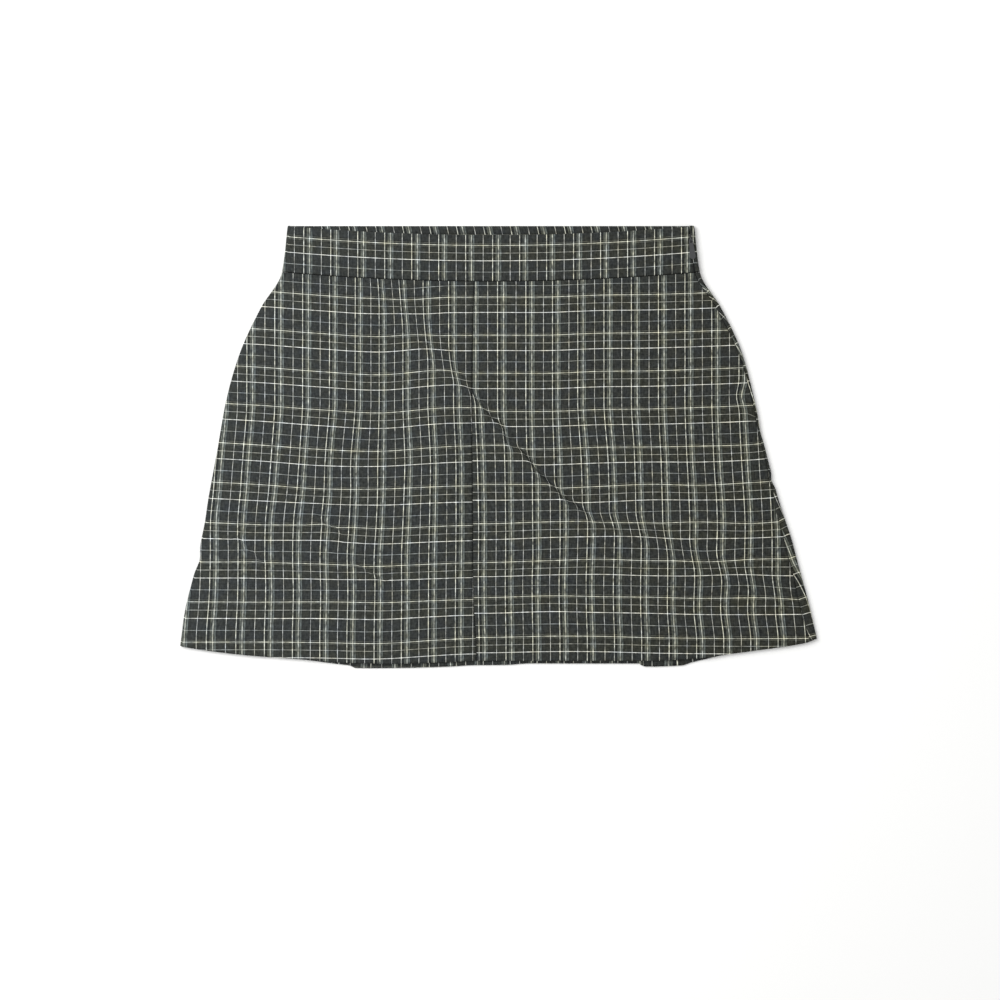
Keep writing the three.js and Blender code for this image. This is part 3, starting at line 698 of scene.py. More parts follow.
def plaid_material(name):
    """Plain-woven plaid of dyed cotton: matt, with fine lines that look beaded where the weave covers them,
    and a tint that drifts a little at random between warm and cool. Light is painted into its colour too: a
    faint painted sheen, strongest at the left, and a painted light tint, cool at the left and warm at the
    right."""
    material, tree, shader = new_material(name, {
        "Roughness": 0.88, "Specular IOR Level": 0.06, "Sheen Weight": 0.03, "Sheen Roughness": 0.5})
    cloth = add_node(tree, "ShaderNodeUVMap", uv_map="cloth").outputs["UV"]
    part = add_node(tree, "ShaderNodeSeparateXYZ", {"Vector": cloth})
    across, down = part.outputs["X"], part.outputs["Y"]
    warp = stripe_ramp(tree, across, WARP, WARP_STRIPES, WARP_SPLIT).outputs["Color"]
    weft = stripe_ramp(tree, down, WEFT, WEFT_STRIPES, WEFT_SPLIT).outputs["Color"]
    waves = []
    for place in (across, down):
        turned = add_node(tree, "ShaderNodeMath", {0: place, 1: math.pi / YARN}, operation="MULTIPLY")
        waves.append(add_node(tree, "ShaderNodeMath", {0: turned.outputs[0]}, operation="SINE").outputs[0])
    over = add_node(tree, "ShaderNodeMath", {0: waves[0], 1: waves[1]}, operation="MULTIPLY").outputs[0]
    for_warp, for_weft = [
        add_node(tree, "ShaderNodeMath", {0: over, 1: lift, 2: 1.0}, operation="MULTIPLY_ADD").outputs[0]
        for lift in (WEAVE_RELIEF, -WEAVE_RELIEF)]
    warp = dimmed(tree, warp, [for_warp, uneven(tree, cloth, BEAD_BROAD, BEAD_LONG, 0.3, 1.7)])
    weft = dimmed(tree, weft, [for_weft, uneven(tree, cloth, BEAD_LONG, BEAD_BROAD, 0.5, 1.5)])
    woven = add_node(tree, "ShaderNodeVectorMath", {0: warp, 1: weft}, operation="ADD").outputs["Vector"]
    woven = dimmed(tree, woven, [uneven(tree, cloth, SLUB, SLUB, 0.8, 1.2)])
    place = add_node(tree, "ShaderNodeSeparateXYZ",
                     {"Vector": add_node(tree, "ShaderNodeTexCoord").outputs["Object"]})
    # A share from the left of the garment to its right, which sets how much painted sheen and painted light
    # tint the colour gets.
    painted_light_span = {"Value": place.outputs["X"], "From Min": PAINTED_LIGHT_LEFT, "From Max": PAINTED_LIGHT_RIGHT}
    painted_light_share = add_node(tree, "ShaderNodeMapRange", painted_light_span).outputs["Result"]
    patches = uneven(tree, cloth, TINT_SPAN, TINT_SPAN, 0, 0.8)
    # The tint's warmth: random patches of dye, plus a painted light tint that runs from cool at the left to
    # warm at the right.
    warmth = add_node(tree, "ShaderNodeMath", {0: painted_light_share, 1: 0.3, 2: patches}, operation="MULTIPLY_ADD",
                      use_clamp=True)
    tint = add_node(tree, "ShaderNodeMix",
                    {"Factor": warmth.outputs[0], "A": linear("#F2F7FF"), "B": linear("#FFFBEA")},
                    data_type="RGBA")
    tinted_by_dye_and_painted_light = add_node(tree, "ShaderNodeVectorMath", {0: woven, 1: tint.outputs["Result"]},
                    operation="MULTIPLY")
    # Painted sheen: a pale haze added to the colour, strongest at the left, where the lamp stands.
    painted_sheen = add_node(tree, "ShaderNodeMix",
                   {"Factor": painted_light_share, "A": linear("#161819"), "B": linear("#000000")}, data_type="RGBA")
    with_painted_sheen = add_node(tree, "ShaderNodeVectorMath", {0: tinted_by_dye_and_painted_light.outputs["Vector"], 1: painted_sheen.outputs["Result"]},
                      operation="ADD")
    tree.links.new(with_painted_sheen.outputs["Vector"], shader.inputs["Base Color"])
    bump = add_node(tree, "ShaderNodeBump", {"Height": over, "Strength": 0.25, "Distance": 0.0001})
    tree.links.new(bump.outputs["Normal"], shader.inputs["Normal"])
    return material


plaid = plaid_material("yarn_dyed_plaid_cotton")
LEFT_ROWS = 170
LEFT_TOP_COLUMNS = 124
LEFT_BEND_COLUMNS = 10
LEFT_UNDER_COLUMNS = 10


def make_front_left():
    """The top from the middle seam to the edge, the bend round it, and the part underneath."""
    share = np.linspace(0, 1, LEFT_ROWS + 1)[:, None]
    across = np.linspace(0, 1, LEFT_TOP_COLUMNS + 1)[None, :]
    x, y = settle(share, True, left_of_middle, left_bend, across)
    level, slip_x, slip_y = front_surface(x, y)
    level = level - seam_roll(left_of_middle(y) - x)
    top = np.stack([x, y, level], 2)
    top_flow = np.stack(left_plaid(x, y, slip_x, slip_y), 2)
    turn = np.linspace(0, 1, LEFT_BEND_COLUMNS + 1)[None, 1:-1]
    _, y = settle(share + 0 * turn, False, left_edge, left_edge, 0)
    radius = edge_level(y) / 2
    angle = np.pi * (0.5 - turn)
    bend = np.stack([left_edge(y) + radius - radius * np.cos(angle), y, radius + radius * np.sin(angle)], 2)
    arc = np.pi * radius * turn
    edge_flow = top_flow[:, -1:, :]
    bend_flow = np.stack([edge_flow[..., 0] - arc, edge_flow[..., 1] + 0 * arc], 2)
    under = np.linspace(0, 1, LEFT_UNDER_COLUMNS + 1)[None, :]
    x, y = settle(share, False, left_bend, front_underneath, under)
    low = np.stack([x, y, 0 * x], 2)
    low_flow = np.stack([edge_flow[..., 0] - np.pi * edge_level(y) / 2 - (x - left_bend(y)),
                         edge_flow[..., 1] + 0 * x], 2)
    outer = np.concatenate([top, bend, low], 1)
    flow = np.concatenate([top_flow, bend_flow, low_flow], 1)
    thick = hem_wall(outer[..., 1] - front_hem(outer[..., 0]))
    return shell("skirt_front_left", outer, thick, flow, plaid, flip=True)


front_left = make_front_left()
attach(front_left, "garment")
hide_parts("front_left")

# Skirt front, right half
# The same plaid, seamed to the left half at the middle and to the back at the side. A sharp
# crease crosses it, with a soft fold beyond, and draws the cloth above it down and left.
DRIFT_PLACES_RIGHT = [-12.6, 34.0, 80.3, 126.8, 173.2, 219.7, 266.0]
DRIFT_RIGHT = [
    (36.0, [-2.8, -1.1, -3.6, -3.2, -3.8, -3.6, -6.0]),
    (-11.0, [-0.9, -0.2, -0.1, -0.7, -2.1, -1.3, -2.6]),
    (-63.0, [0.1, 0.2, 1.1, 0.5, 0.6, 1.6, 0.2]),
    (-93.0, [0.0, 0.4, 0.5, 0.7, -0.1, 1.5, 1.8]),
    (-114.0, [-0.1, -0.2, -0.2, 0.3, 0.3, 1.0, 2.4]),
    (-140.0, [0.1, -0.1, 0.0, 0.3, -0.4, -0.5, 1.1]),
    (-166.0, [0.6, 0.4, 0.9, 1.3, 2.2, 2.4, 3.0]),
]
SAG_PLACES_RIGHT = [-7.3, 44.3, 87.3, 130.3, 173.3, 216.3, 259.3]
SAG_RIGHT = [
    (32.7, [-1.0, -1.0, -2.6, -3.1, -4.4, -6.2, -9.0]),
    (0.0, [-1.3, -1.7, -3.0, -3.2, -3.9, -5.2, -9.5]),
    (-33.0, [-0.5, -0.4, -2.1, -3.9, -3.1, -5.2, -7.5]),
    (-65.5, [0.6, -1.1, -1.7, -3.0, -4.3, -3.0, -5.6]),
    (-98.5, [1.1, -0.5, -1.7, -0.4, -1.0, -4.9, -5.4]),
    (-131.0, [-1.6, -3.1, -2.3, -1.8, -0.8, -1.2, -1.4]),
    (-164.0, [0.0, -1.0, -0.9, 0.2, 0.8, 1.1, 0.9]),
]
RIGHT_ROWS = 224
RIGHT_COLUMNS = 168
# The pucker at the zip's end pinches the level yarns down. Above it the upright ones lean left.
PUCKER_X = 224.0
PUCKER_Y = 27.5
PUCKER_WIDE = 6.5
PUCKER_LONG = 3.4
PUCKER_PULL = 4.6
LEAN_START = 196.0
LEAN_FULL = 208.0
LEAN_Y = 44.0
LEAN_LONG = 8.0
LEAN_PULL = 2.7
# The mesh is denser along the crisp stretch of the crease, from one share of its way to another,
# but not within GATHER_CALM of the sheet's own edges.
GATHER_REACH = 5.0
GATHER_SHARE = 0.72
GATHER_BEGIN = (0.18, 0.26)
GATHER_END = (0.58, 0.66)
GATHER_CALM = 2.0
GATHER_FREE = 12.0


def right_plaid(x, y, slip_x, slip_y):
    """Where a place on the right half lies in the cloth, with the pucker at the zip's end."""
    pucker = np.exp(-((x - PUCKER_X) / PUCKER_WIDE) ** 2 - ((y - PUCKER_Y) / PUCKER_LONG) ** 2)
    lean = ease(x, LEAN_START, LEAN_FULL) * np.exp(-((y - LEAN_Y) / LEAN_LONG) ** 2)
    across = x + slip_x - RIGHT_MAIN_LINE - hand_laid(DRIFT_PLACES_RIGHT, DRIFT_RIGHT, x, y)
    down = WEFT_START - y - slip_y - hand_laid(SAG_PLACES_RIGHT, SAG_RIGHT, x, y)
    return across + LEAN_PULL * lean, down - PUCKER_PULL * pucker


def gather(fold, x, y, room):
    """Draws the grid's points together along a crease, so that it stays crisp."""
    share, away, side_x, side_y = beside(fold, x, y)
    reach = np.clip(np.abs(away) / GATHER_REACH, 0, 1)
    pull = GATHER_SHARE * (1 - reach) ** 2 * ease(share, *GATHER_BEGIN) * (1 - ease(share, *GATHER_END))
    pull = pull * ease(room, GATHER_CALM, GATHER_FREE)
    return x - side_x * away * pull, y - side_y * away * pull


def make_front_right():
    """One fine sheet from the middle seam to the side seam."""
    share = np.linspace(0, 1, RIGHT_ROWS + 1)[:, None]
    across = np.linspace(0, 1, RIGHT_COLUMNS + 1)[None, :]
    x, y = settle(share, True, right_of_middle, front_at_side, across)
    room_across = np.minimum(x - right_of_middle(y), front_at_side(y) - x)
    room = np.minimum(room_across, np.minimum(y - front_hem(x), WAIST_SEAM - y))
    x, y = gather(FOLDS[0], x, y, room)
    level, slip_x, slip_y = front_surface(x, y)
    level = level - seam_roll(x - right_of_middle(y)) - seam_roll(front_at_side(y) - x, SIDE_SEAM_SINK)
    outer = np.stack([x, y, level], 2)
    flow = np.stack(right_plaid(x, y, slip_x, slip_y), 2)
    return shell("skirt_front_right", outer, hem_wall(y - front_hem(x)), flow, plaid)


front_right = make_front_right()
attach(front_right, "garment")
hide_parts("front_right")

# Skirt back
# One piece of the plaid. It lies face down on the table, and rolls round the right edge up to
# the side seam on top. Its hem hangs out a little below the front and shows its inside.
BACK_MAIN_LINE = 5.0
BACK_WEFT_START = -27.0
# The upright lines lean out by BACK_LEAN: where that starts and is full, and the height at
# which they cross their own place. A tuck by the hem sets them over.
BACK_LEAN = 0.155
BACK_LEAN_LEFT = (60.0, 250.0, -38.0)
BACK_LEAN_RIGHT = (110.0, 250.0, 72.0)
BACK_TUCK = 124.3
BACK_TUCK_HALF = 1.0
BACK_TUCK_LOW = -172.0
BACK_TUCK_HIGH = -150.0
BACK_TUCK_SLIP = -4.6
# The strip that has rolled onto the top: how its level lines rise across it and slip down, and
# how its upright lines drift out, at heights down the side
STRIP_START = 200.0
STRIP_FULL = 245.0
STRIP_RISE = 0.16
STRIP_SLIP = [(190.4, 1.9), (-25, 1.9), (-55, 1.1), (-104, 1.2), (-124, 3.2), (-190, 3.4)]
STRIP_DRIFT = [(190.4, 0), (-60, 0), (-95, 0.3), (-117, 3.4), (-133, 4.4), (-190, 2)]
EDGE_STEP = 5.0
BACK_ROWS = 112
BACK_STRIP_COLUMNS = 4
BACK_BEND_COLUMNS = 10
BACK_UNDER_COLUMNS = 208

strip_slip = smooth_line(STRIP_SLIP)
strip_drift = smooth_line(STRIP_DRIFT)


def back_plaid(x, y):
    """The back's warp runs straight down its middle and leans out with the side seams."""
    lean = 0
    for side, (start, full, level) in ((-1, BACK_LEAN_LEFT), (1, BACK_LEAN_RIGHT)):
        lean = lean + side * BACK_LEAN * ease(side * x, start, full) * (y - level)
    tuck = BACK_TUCK_SLIP * ease(x, BACK_TUCK - BACK_TUCK_HALF, BACK_TUCK + BACK_TUCK_HALF)
    tuck = tuck * (1 - ease(y, BACK_TUCK_LOW, BACK_TUCK_HIGH))
    near_side = ease(x, STRIP_START, STRIP_FULL)
    across = -(x - BACK_MAIN_LINE - tuck + lean + strip_drift(y) * near_side)
    rolled = np.maximum(x - right_edge(y), 0)
    return across, BACK_WEFT_START - y - strip_slip(y) * near_side + STRIP_RISE * rolled


def make_back():
    """The strip on top, the bend round the right edge, and the broad part underneath."""
    share = np.linspace(0, 1, BACK_ROWS + 1)[:, None]
    strip = np.linspace(0, 1, BACK_STRIP_COLUMNS + 1)[None, :-1]
    x, y = settle(share, True, back_at_side, right_bend, strip)
    level, _, _ = front_surface(x, y)
    top = np.stack([x, y, level - seam_roll(x - back_at_side(y), SIDE_SEAM_SINK)], 2)
    top_flow = back_plaid(*unroll(x, y, np.pi * edge_level(y) / 2 + right_bend(y) - x))
    turn = np.linspace(0, 1, BACK_BEND_COLUMNS + 1)[None, :]
    _, y = settle(share + 0 * turn, False, right_edge, right_edge, 0)
    _, y_top = settle(share, True, right_bend, right_bend, 0)
    y = y_top + (y - y_top) * turn
    radius = edge_level(y) / 2
    angle = np.pi * (0.5 - turn)
    bend = np.stack([right_bend(y) + radius * np.cos(angle), y, radius + radius * np.sin(angle)], 2)
    bend_flow = back_plaid(*unroll(right_bend(y), y, np.pi * radius * (1 - turn)))
    under = np.linspace(0, 1, BACK_UNDER_COLUMNS + 1)[None, 1:]
    x, y = settle(share, False, right_bend, back_underneath, under)
    low = np.stack([x, y, 0 * x], 2)
    low_flow = back_plaid(x, y)
    outer = np.concatenate([top, bend, low], 1)
    flow = np.concatenate([np.stack(part, 2) for part in (top_flow, bend_flow, low_flow)], 1)
    thick = hem_wall(outer[..., 1] - back_hem(outer[..., 0]))
    return shell("skirt_back", outer, thick, flow, plaid)


def unroll(x, y, beyond):
    """Where a place that the edge has rolled over would lie if the back were opened flat."""
    lean = (right_edge(y - EDGE_STEP) - right_edge(y + EDGE_STEP)) / (2 * EDGE_STEP)
    length = np.hypot(1, lean)
    foot_x = right_bend(y)
    foot_y = y + (foot_x - x) * lean / length ** 2
    flat_x = foot_x + beyond / length - (foot_x - x) * lean ** 2 / length ** 2
    return flat_x, foot_y + beyond * lean / length


back = make_back()
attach(back, "garment")
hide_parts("back")

# Waistband
# Two straight bands of the plaid, made up double over a stiffener. The front one dips in the
# middle and shows the inside of the back one above it.
BAND_CLOTH = 1.2
BAND_ROWS = 18
BAND_TOP_COLUMNS = 140
BAND_BEND_COLUMNS = 10
BAND_UNDER_COLUMNS = 12
BAND_STRIP_COLUMNS = 3
BAND_BACK_COLUMNS = 140
# The long edges turn down by BAND_ROLL over ROLL_SPAN, half as much round the folded side and
# less underneath, where the band lies flat. The wall thins to EDGE_WALL of itself over THIN_SPAN.
BAND_ROLL = 1.0
ROLL_SPAN = 1.5
ROLL_ROUND = 0.5
ROLL_UNDER = 0.3
THIN_SPAN = 1.2
EDGE_WALL = 0.45
BAND_SEAM_SHARE = 0.5
BAND_WEFT_START = 214.0
# The lips of the side seam stand LIP_GAP apart round the slider, and meet beyond.
ZIP_HEAD = 178.4
LIP_GAP = 1.6
LIP_OPEN = 5.0
LIP_CLOSED = 10.0


def lip_gap(y):
    """Half the gap between the lips of the side seam, which part where the slider stands."""
    opened = 1 - ease(np.abs(y - ZIP_HEAD), LIP_OPEN, LIP_CLOSED)
    return (SEAM_GAP + (LIP_GAP - SEAM_GAP) * opened) / 2


def up_band(x, share, on_top):
    """The height of a place in a column that runs up the band."""
    height = WAIST_SEAM + SEAM_GAP / 2 + (BAND_TOP - WAIST_SEAM - SEAM_GAP / 2) * share
    return height - (front_dip(x) if on_top else 0)


def band_crown(share, span):
    """A round crown across the band: 1 over all its width but a span at each long edge."""
    height = BAND_TOP - WAIST_SEAM
    near = np.clip(np.minimum(share, 1 - share) * height / span, 0, 1)
    return np.sqrt(1 - (1 - near) ** 2)


def band_rows():
    """Shares of the band's height, closer together towards its two long edges."""
    return 0.5 - 0.5 * np.cos(np.pi * np.linspace(0, 1, BAND_ROWS + 1)[:, None])


def make_band_front():
    """From the zip across the front and round the left edge to the other side seam."""
    share = band_rows()
    roll = BAND_ROLL * (1 - band_crown(share, ROLL_SPAN))
    side = up_band(left_edge(BAND_TOP), share, False)
    across = np.linspace(0, 1, BAND_TOP_COLUMNS + 1)[None, :]
    start = side_seam(side) - lip_gap(side)
    bend_start = left_bend(side)
    x = start + (bend_start - start) * across
    y = up_band(x, share, True)
    sink = roll + seam_roll(start - x) * BAND_SEAM_SHARE
    top = np.stack([x, y, edge_level(side) + 0 * x - sink], 2)
    top_flow = np.stack([x, BAND_WEFT_START - y - front_dip(x)], 2)
    turn = np.linspace(0, 1, BAND_BEND_COLUMNS + 1)[None, 1:-1]
    radius = edge_level(side) / 2 + 0 * turn
    angle = np.pi * (0.5 - turn)
    ring = radius - roll * ROLL_ROUND
    bend = np.stack([bend_start - ring * np.cos(angle), side + 0 * turn, radius + ring * np.sin(angle)], 2)
    bend_flow = np.stack([bend_start - radius * np.pi * turn, BAND_WEFT_START - side + 0 * turn], 2)
    under = np.linspace(0, 1, BAND_UNDER_COLUMNS + 1)[None, :]
    x = bend_start + (front_underneath(side) - bend_start) * under
    low = np.stack([x, side + 0 * x, roll * ROLL_UNDER + 0 * x], 2)
    low_across = bend_start - radius[:, :1] * np.pi - (x - bend_start)
    low_flow = np.stack([low_across, BAND_WEFT_START - side + 0 * x], 2)
    outer = np.concatenate([top, bend, low], 1)
    flow = np.concatenate([top_flow, bend_flow, low_flow], 1)
    return shell("waistband_front_cloth", outer, band_wall(share, outer), flow, plaid)


def band_wall(share, outer):
    """The double cloth thins to its fold along both long edges."""
    return BAND_CLOTH * (EDGE_WALL + (1 - EDGE_WALL) * band_crown(share, THIN_SPAN) + 0 * outer[..., 0])


def make_band_back():
    """From the zip round the right edge and across the back to the other side seam."""
    share = band_rows()
    roll = BAND_ROLL * (1 - band_crown(share, ROLL_SPAN))
    side = up_band(right_edge(BAND_TOP), share, False)
    strip = np.linspace(0, 1, BAND_STRIP_COLUMNS + 1)[None, :-1]
    start = side_seam(side) + lip_gap(side)
    bend_start = right_bend(side)
    x = start + (bend_start - start) * strip
    top = np.stack([x, side + 0 * x, edge_level(side) - roll - BAND_SEAM_SHARE * seam_roll(x - start)], 2)
    top_flow = np.stack([-x, BAND_WEFT_START - side + 0 * x], 2)
    turn = np.linspace(0, 1, BAND_BEND_COLUMNS + 1)[None, :]
    radius = edge_level(side) / 2 + 0 * turn
    ring = radius - roll * ROLL_ROUND
    angle = np.pi * (0.5 - turn)
    bend = np.stack([bend_start + ring * np.cos(angle), side + 0 * turn, radius + ring * np.sin(angle)], 2)
    bend_flow = np.stack([-(bend_start + radius * np.pi * turn), BAND_WEFT_START - side + 0 * turn], 2)
    under = np.linspace(0, 1, BAND_BACK_COLUMNS + 1)[None, 1:]
    x = bend_start + (back_underneath(side) - bend_start) * under
    low = np.stack([x, side + 0 * x, roll * ROLL_UNDER + 0 * x], 2)
    low_flow = np.stack([x - 2 * bend_start - radius[:, :1] * np.pi, BAND_WEFT_START - side + 0 * x], 2)
    outer = np.concatenate([top, bend, low], 1)
    flow = np.concatenate([top_flow, bend_flow, low_flow], 1)
    return shell("waistband_back_cloth", outer, band_wall(share, outer), flow, plaid, flip=True)


for band, node, width, area in ((make_band_front(), "waistband_front", 0.375, 0.0150),
                                (make_band_back(), "waistband_back", 0.345, 0.0138)):
    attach(band, "garment")
    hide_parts(node)

# Inner shorts
# Four flat panels of plain charcoal twill, light and a little smooth, sewn into the waist
# seam. Nothing of them shows but at the leg hems, which are turned up and coverstitched.
SHORTS_BACK_FLOOR = 1.3
SHORTS_FRONT_FLOOR = 2.6
PANEL_TOP = 0.75
SHORTS_CENTRE = -12.0
CROTCH = -88.0
LEG_PARTING = 9.0
SHORTS_RISE_ROWS = 60
SHORTS_LEG_ROWS = 20
SHORTS_COLUMNS = 60
TWILL_LINE = 0.7


def add_ribs(tree, shader, place, spacing, dark, pale, relief):
    """Ribs a spacing apart, whose crests are paler and stand a little higher."""
    turned = add_node(tree, "ShaderNodeMath", {0: place, 1: 2 * math.pi / spacing}, operation="MULTIPLY")
    rib = add_node(tree, "ShaderNodeMath", {0: turned.outputs[0]}, operation="SINE")
    tone = add_node(tree, "ShaderNodeMapRange", {"Value": rib.outputs[0], "From Min": -1.0})
    colour = add_node(tree, "ShaderNodeMix",
                      {"Factor": tone.outputs["Result"], "A": linear(dark), "B": linear(pale)},
                      data_type="RGBA")
    tree.links.new(colour.outputs["Result"], shader.inputs["Base Color"])
    bump = add_node(tree, "ShaderNodeBump",
                    {"Height": rib.outputs[0], "Strength": relief, "Distance": 0.0001})
    tree.links.new(bump.outputs["Normal"], shader.inputs["Normal"])


def twill_material():
    """Charcoal twill: fine diagonal ribs that catch a little light."""
    material, tree, shader = new_material("charcoal_twill", {
        "Roughness": 0.75, "Specular IOR Level": 0.3, "Sheen Weight": 0.1})
    cloth = add_node(tree, "ShaderNodeUVMap", uv_map="cloth")
    part = add_node(tree, "ShaderNodeSeparateXYZ", {"Vector": cloth.outputs["UV"]})
    slant = add_node(tree, "ShaderNodeMath", {0: part.outputs["X"], 1: part.outputs["Y"]}, operation="ADD")
    add_ribs(tree, shader, slant.outputs[0], TWILL_LINE, "#232425", "#303133", 0.3)
    return material


def panel_sides(side, level):
    """The panel's edge in the middle, and its edge at the side."""
    below = np.clip((CROTCH - level) / (CROTCH - LEG_HEM), 0, 1)
    middle = SHORTS_CENTRE + side * (SEAM_GAP / 2 + LEG_PARTING * below)
    outer = left_edge(level) + SHORTS_SIDE_INSET if side < 0 else right_edge(level) - SHORTS_SIDE_INSET
    return middle, outer


def make_shorts_panel(name, side, floor, on_top, material):
    """A flat panel from the waist seam down to the crotch and on to the leg's hem."""
    top = WAIST_SEAM - SEAM_GAP / 2
    rise = np.linspace(top, CROTCH, SHORTS_RISE_ROWS + 1)
    leg = np.linspace(CROTCH, LEG_HEM, SHORTS_LEG_ROWS + 1)[1:]
    level = np.concatenate([rise, leg])[:, None]
    across = np.linspace(0, 1, SHORTS_COLUMNS + 1)[None, :]
    middle, outer_side = panel_sides(side, level)
    x = middle + (outer_side - middle) * across
    dip = front_dip(x) * np.clip((level - CROTCH) / (top - CROTCH), 0, 1) if on_top else 0
    y = level - dip + 0 * x
    outer = np.stack([x, y, floor + PANEL_TOP + 0 * x], 2)
    flow = np.stack([x, -y], 2)
    return shell(name, outer, CLOTH + 0 * x, flow, material, flip=side < 0)


twill = twill_material()
for node, side, floor, on_top in (("shorts_back_left", -1, SHORTS_BACK_FLOOR, False),
                                  ("shorts_back_right", 1, SHORTS_BACK_FLOOR, False),
                                  ("shorts_front_left", -1, SHORTS_FRONT_FLOOR, True),
                                  ("shorts_front_right", 1, SHORTS_FRONT_FLOOR, True)):
    panel = make_shorts_panel(node + "_cloth", side, floor, on_top, twill)
    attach(panel, "garment")
    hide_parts(node)

# Coverstitch of the leg hems
# Each leg is turned up and held by two rows of spun thread, which show on the outside as
# rows of long stitches, each lying half sunk in the twill.
STITCH_LONG = 2.4
STITCH_STEP = 2.9
STITCH_RADIUS = 0.16
STITCH_SIDES = 6
STITCH_SHOULDER = 0.3
STITCH_UNEVEN = 0.06
STITCH_ROWS = (13.5, 18.5)
STITCH_END = 3.0
SPACING_SEED = 7


def thread_material():
    """Spun polyester thread: matt, with a faint twist of 0.4 mm that breaks up its shine."""
    material, tree, shader = new_material("spun_polyester_thread", {
        "Base Color": linear("#3A3B3D"), "Roughness": 0.8, "Specular IOR Level": 0.3})
    place = add_node(tree, "ShaderNodeTexCoord").outputs["Object"]
    twist = add_node(tree, "ShaderNodeTexNoise", {"Vector": place, "Scale": 2500.0})
    bump = add_node(tree, "ShaderNodeBump",
                    {"Height": twist.outputs["Fac"], "Strength": 0.3, "Distance": 0.0001})
    tree.links.new(bump.outputs["Normal"], shader.inputs["Normal"])
    return material


def plain_object(name, points, edges, faces):
    """An object from points in millimetres."""
    mesh = bpy.data.meshes.new(name)
    mesh.from_pydata([tuple(point) for point in np.array(points) * MM], edges, faces)
    made = bpy.data.objects.new(name, mesh)
    bpy.context.scene.collection.objects.link(made)
    return made


def stitch_shape():
    """A grain of thread along X: two rings between two tips."""
    half = STITCH_LONG / 2
    points = [(-half, 0, 0)]
    for place in (-half + STITCH_SHOULDER, half - STITCH_SHOULDER):
        for i in range(STITCH_SIDES):
            turn = 2 * math.pi * i / STITCH_SIDES
            points.append((place, STITCH_RADIUS * math.cos(turn), STITCH_RADIUS * math.sin(turn)))
    points.append((half, 0, 0))
    faces = []
    for i in range(STITCH_SIDES):
        a, b = 1 + i, 1 + (i + 1) % STITCH_SIDES
        c, d = a + STITCH_SIDES, b + STITCH_SIDES
        faces += [(0, b, a), (a, b, d, c), (c, d, 2 * STITCH_SIDES + 1)]
    return plain_object("stitch", points, [], faces)


def spacing_tree():
    """Sets a shape at even steps along every line, turned to run with it, and a little uneven
    in size."""
    tree = bpy.data.node_groups.new("spaced_along_lines", "GeometryNodeTree")
    for name, kind in (("Lines", "Geometry"), ("Shape", "Object"), ("Step", "Float"), ("Uneven", "Float"),
                       ("Material", "Material")):
        tree.interface.new_socket(name, in_out="INPUT", socket_type="NodeSocket" + kind)
    tree.interface.new_socket("Pieces", in_out="OUTPUT", socket_type="NodeSocketGeometry")
    given = tree.nodes.new("NodeGroupInput").outputs
    lines = add_node(tree, "GeometryNodeMeshToCurve", {"Mesh": given["Lines"]})
    places = add_node(tree, "GeometryNodeCurveToPoints",
                      {"Curve": lines.outputs[0], "Length": given["Step"]}, mode="LENGTH")
    turned = add_node(tree, "FunctionNodeAlignRotationToVector", {"Vector": places.outputs["Tangent"]},
                      axis="X", pivot_axis="Z")
    least, most = [add_node(tree, "ShaderNodeMath", {0: 1.0, 1: given["Uneven"]}, operation=way).outputs[0]
                   for way in ("SUBTRACT", "ADD")]
    size = add_node(tree, "FunctionNodeRandomValue", {2: least, 3: most, "Seed": SPACING_SEED})
    shape = add_node(tree, "GeometryNodeObjectInfo", {"Object": given["Shape"], "As Instance": True})
    placed = add_node(tree, "GeometryNodeInstanceOnPoints",
                      {"Points": places.outputs["Points"], "Instance": shape.outputs["Geometry"],
                       "Rotation": turned.outputs["Rotation"], "Scale": size.outputs[1]})
    real = add_node(tree, "GeometryNodeRealizeInstances", {"Geometry": placed.outputs["Instances"]})
    coloured = add_node(tree, "GeometryNodeSetMaterial",
                        {"Geometry": real.outputs["Geometry"], "Material": given["Material"]})
    result = tree.nodes.new("NodeGroupOutput")
    tree.links.new(coloured.outputs["Geometry"], result.inputs["Pieces"])
    return tree


spacing = spacing_tree()


def spaced_along(name, lines, shape, step, uneven_size, material):
    """One plain mesh of a shape repeated along lines of points. The shape is used up."""
    points, edges = [], []
    for line in lines:
        edges += [(len(points) + i, len(points) + i + 1) for i in range(len(line) - 1)]
        points += line
    holder = plain_object(name, points, edges, [])
    modifier = holder.modifiers.new("spacing", "NODES")
    modifier.node_group = spacing
    sockets = {item.name: item.identifier for item in spacing.interface.items_tree if item.in_out == "INPUT"}
    modifier[sockets["Shape"]] = shape
    modifier[sockets["Step"]] = step * MM
    modifier[sockets["Uneven"]] = uneven_size
    modifier[sockets["Material"]] = material
    bpy.context.view_layer.update()
    built = bpy.data.meshes.new_from_object(holder.evaluated_get(bpy.context.evaluated_depsgraph_get()))
    holder.modifiers.clear()
    holder.data = built
    built.polygons.foreach_set("use_smooth", [True] * len(built.polygons))
    bpy.data.objects.remove(shape)
    return holder


def stitch_lines():
    """Two rows on the outside of each leg: the upper face in front, the lower one behind."""
    lines = []
    for side in (-1, 1):
        for height in (SHORTS_FRONT_FLOOR + PANEL_TOP, SHORTS_BACK_FLOOR + PANEL_TOP - CLOTH):
            for above in STITCH_ROWS:
                level = LEG_HEM + above
                middle, outer = panel_sides(side, level)
                low, high = sorted((float(middle), float(outer)))
                lines.append([(low + STITCH_END, level, height), (high - STITCH_END, level, height)])
    return lines


stitches = spaced_along("leg_hem_coverstitch", stitch_lines(), stitch_shape(), STITCH_STEP, STITCH_UNEVEN,
                        thread_material())
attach(stitches, "garment")

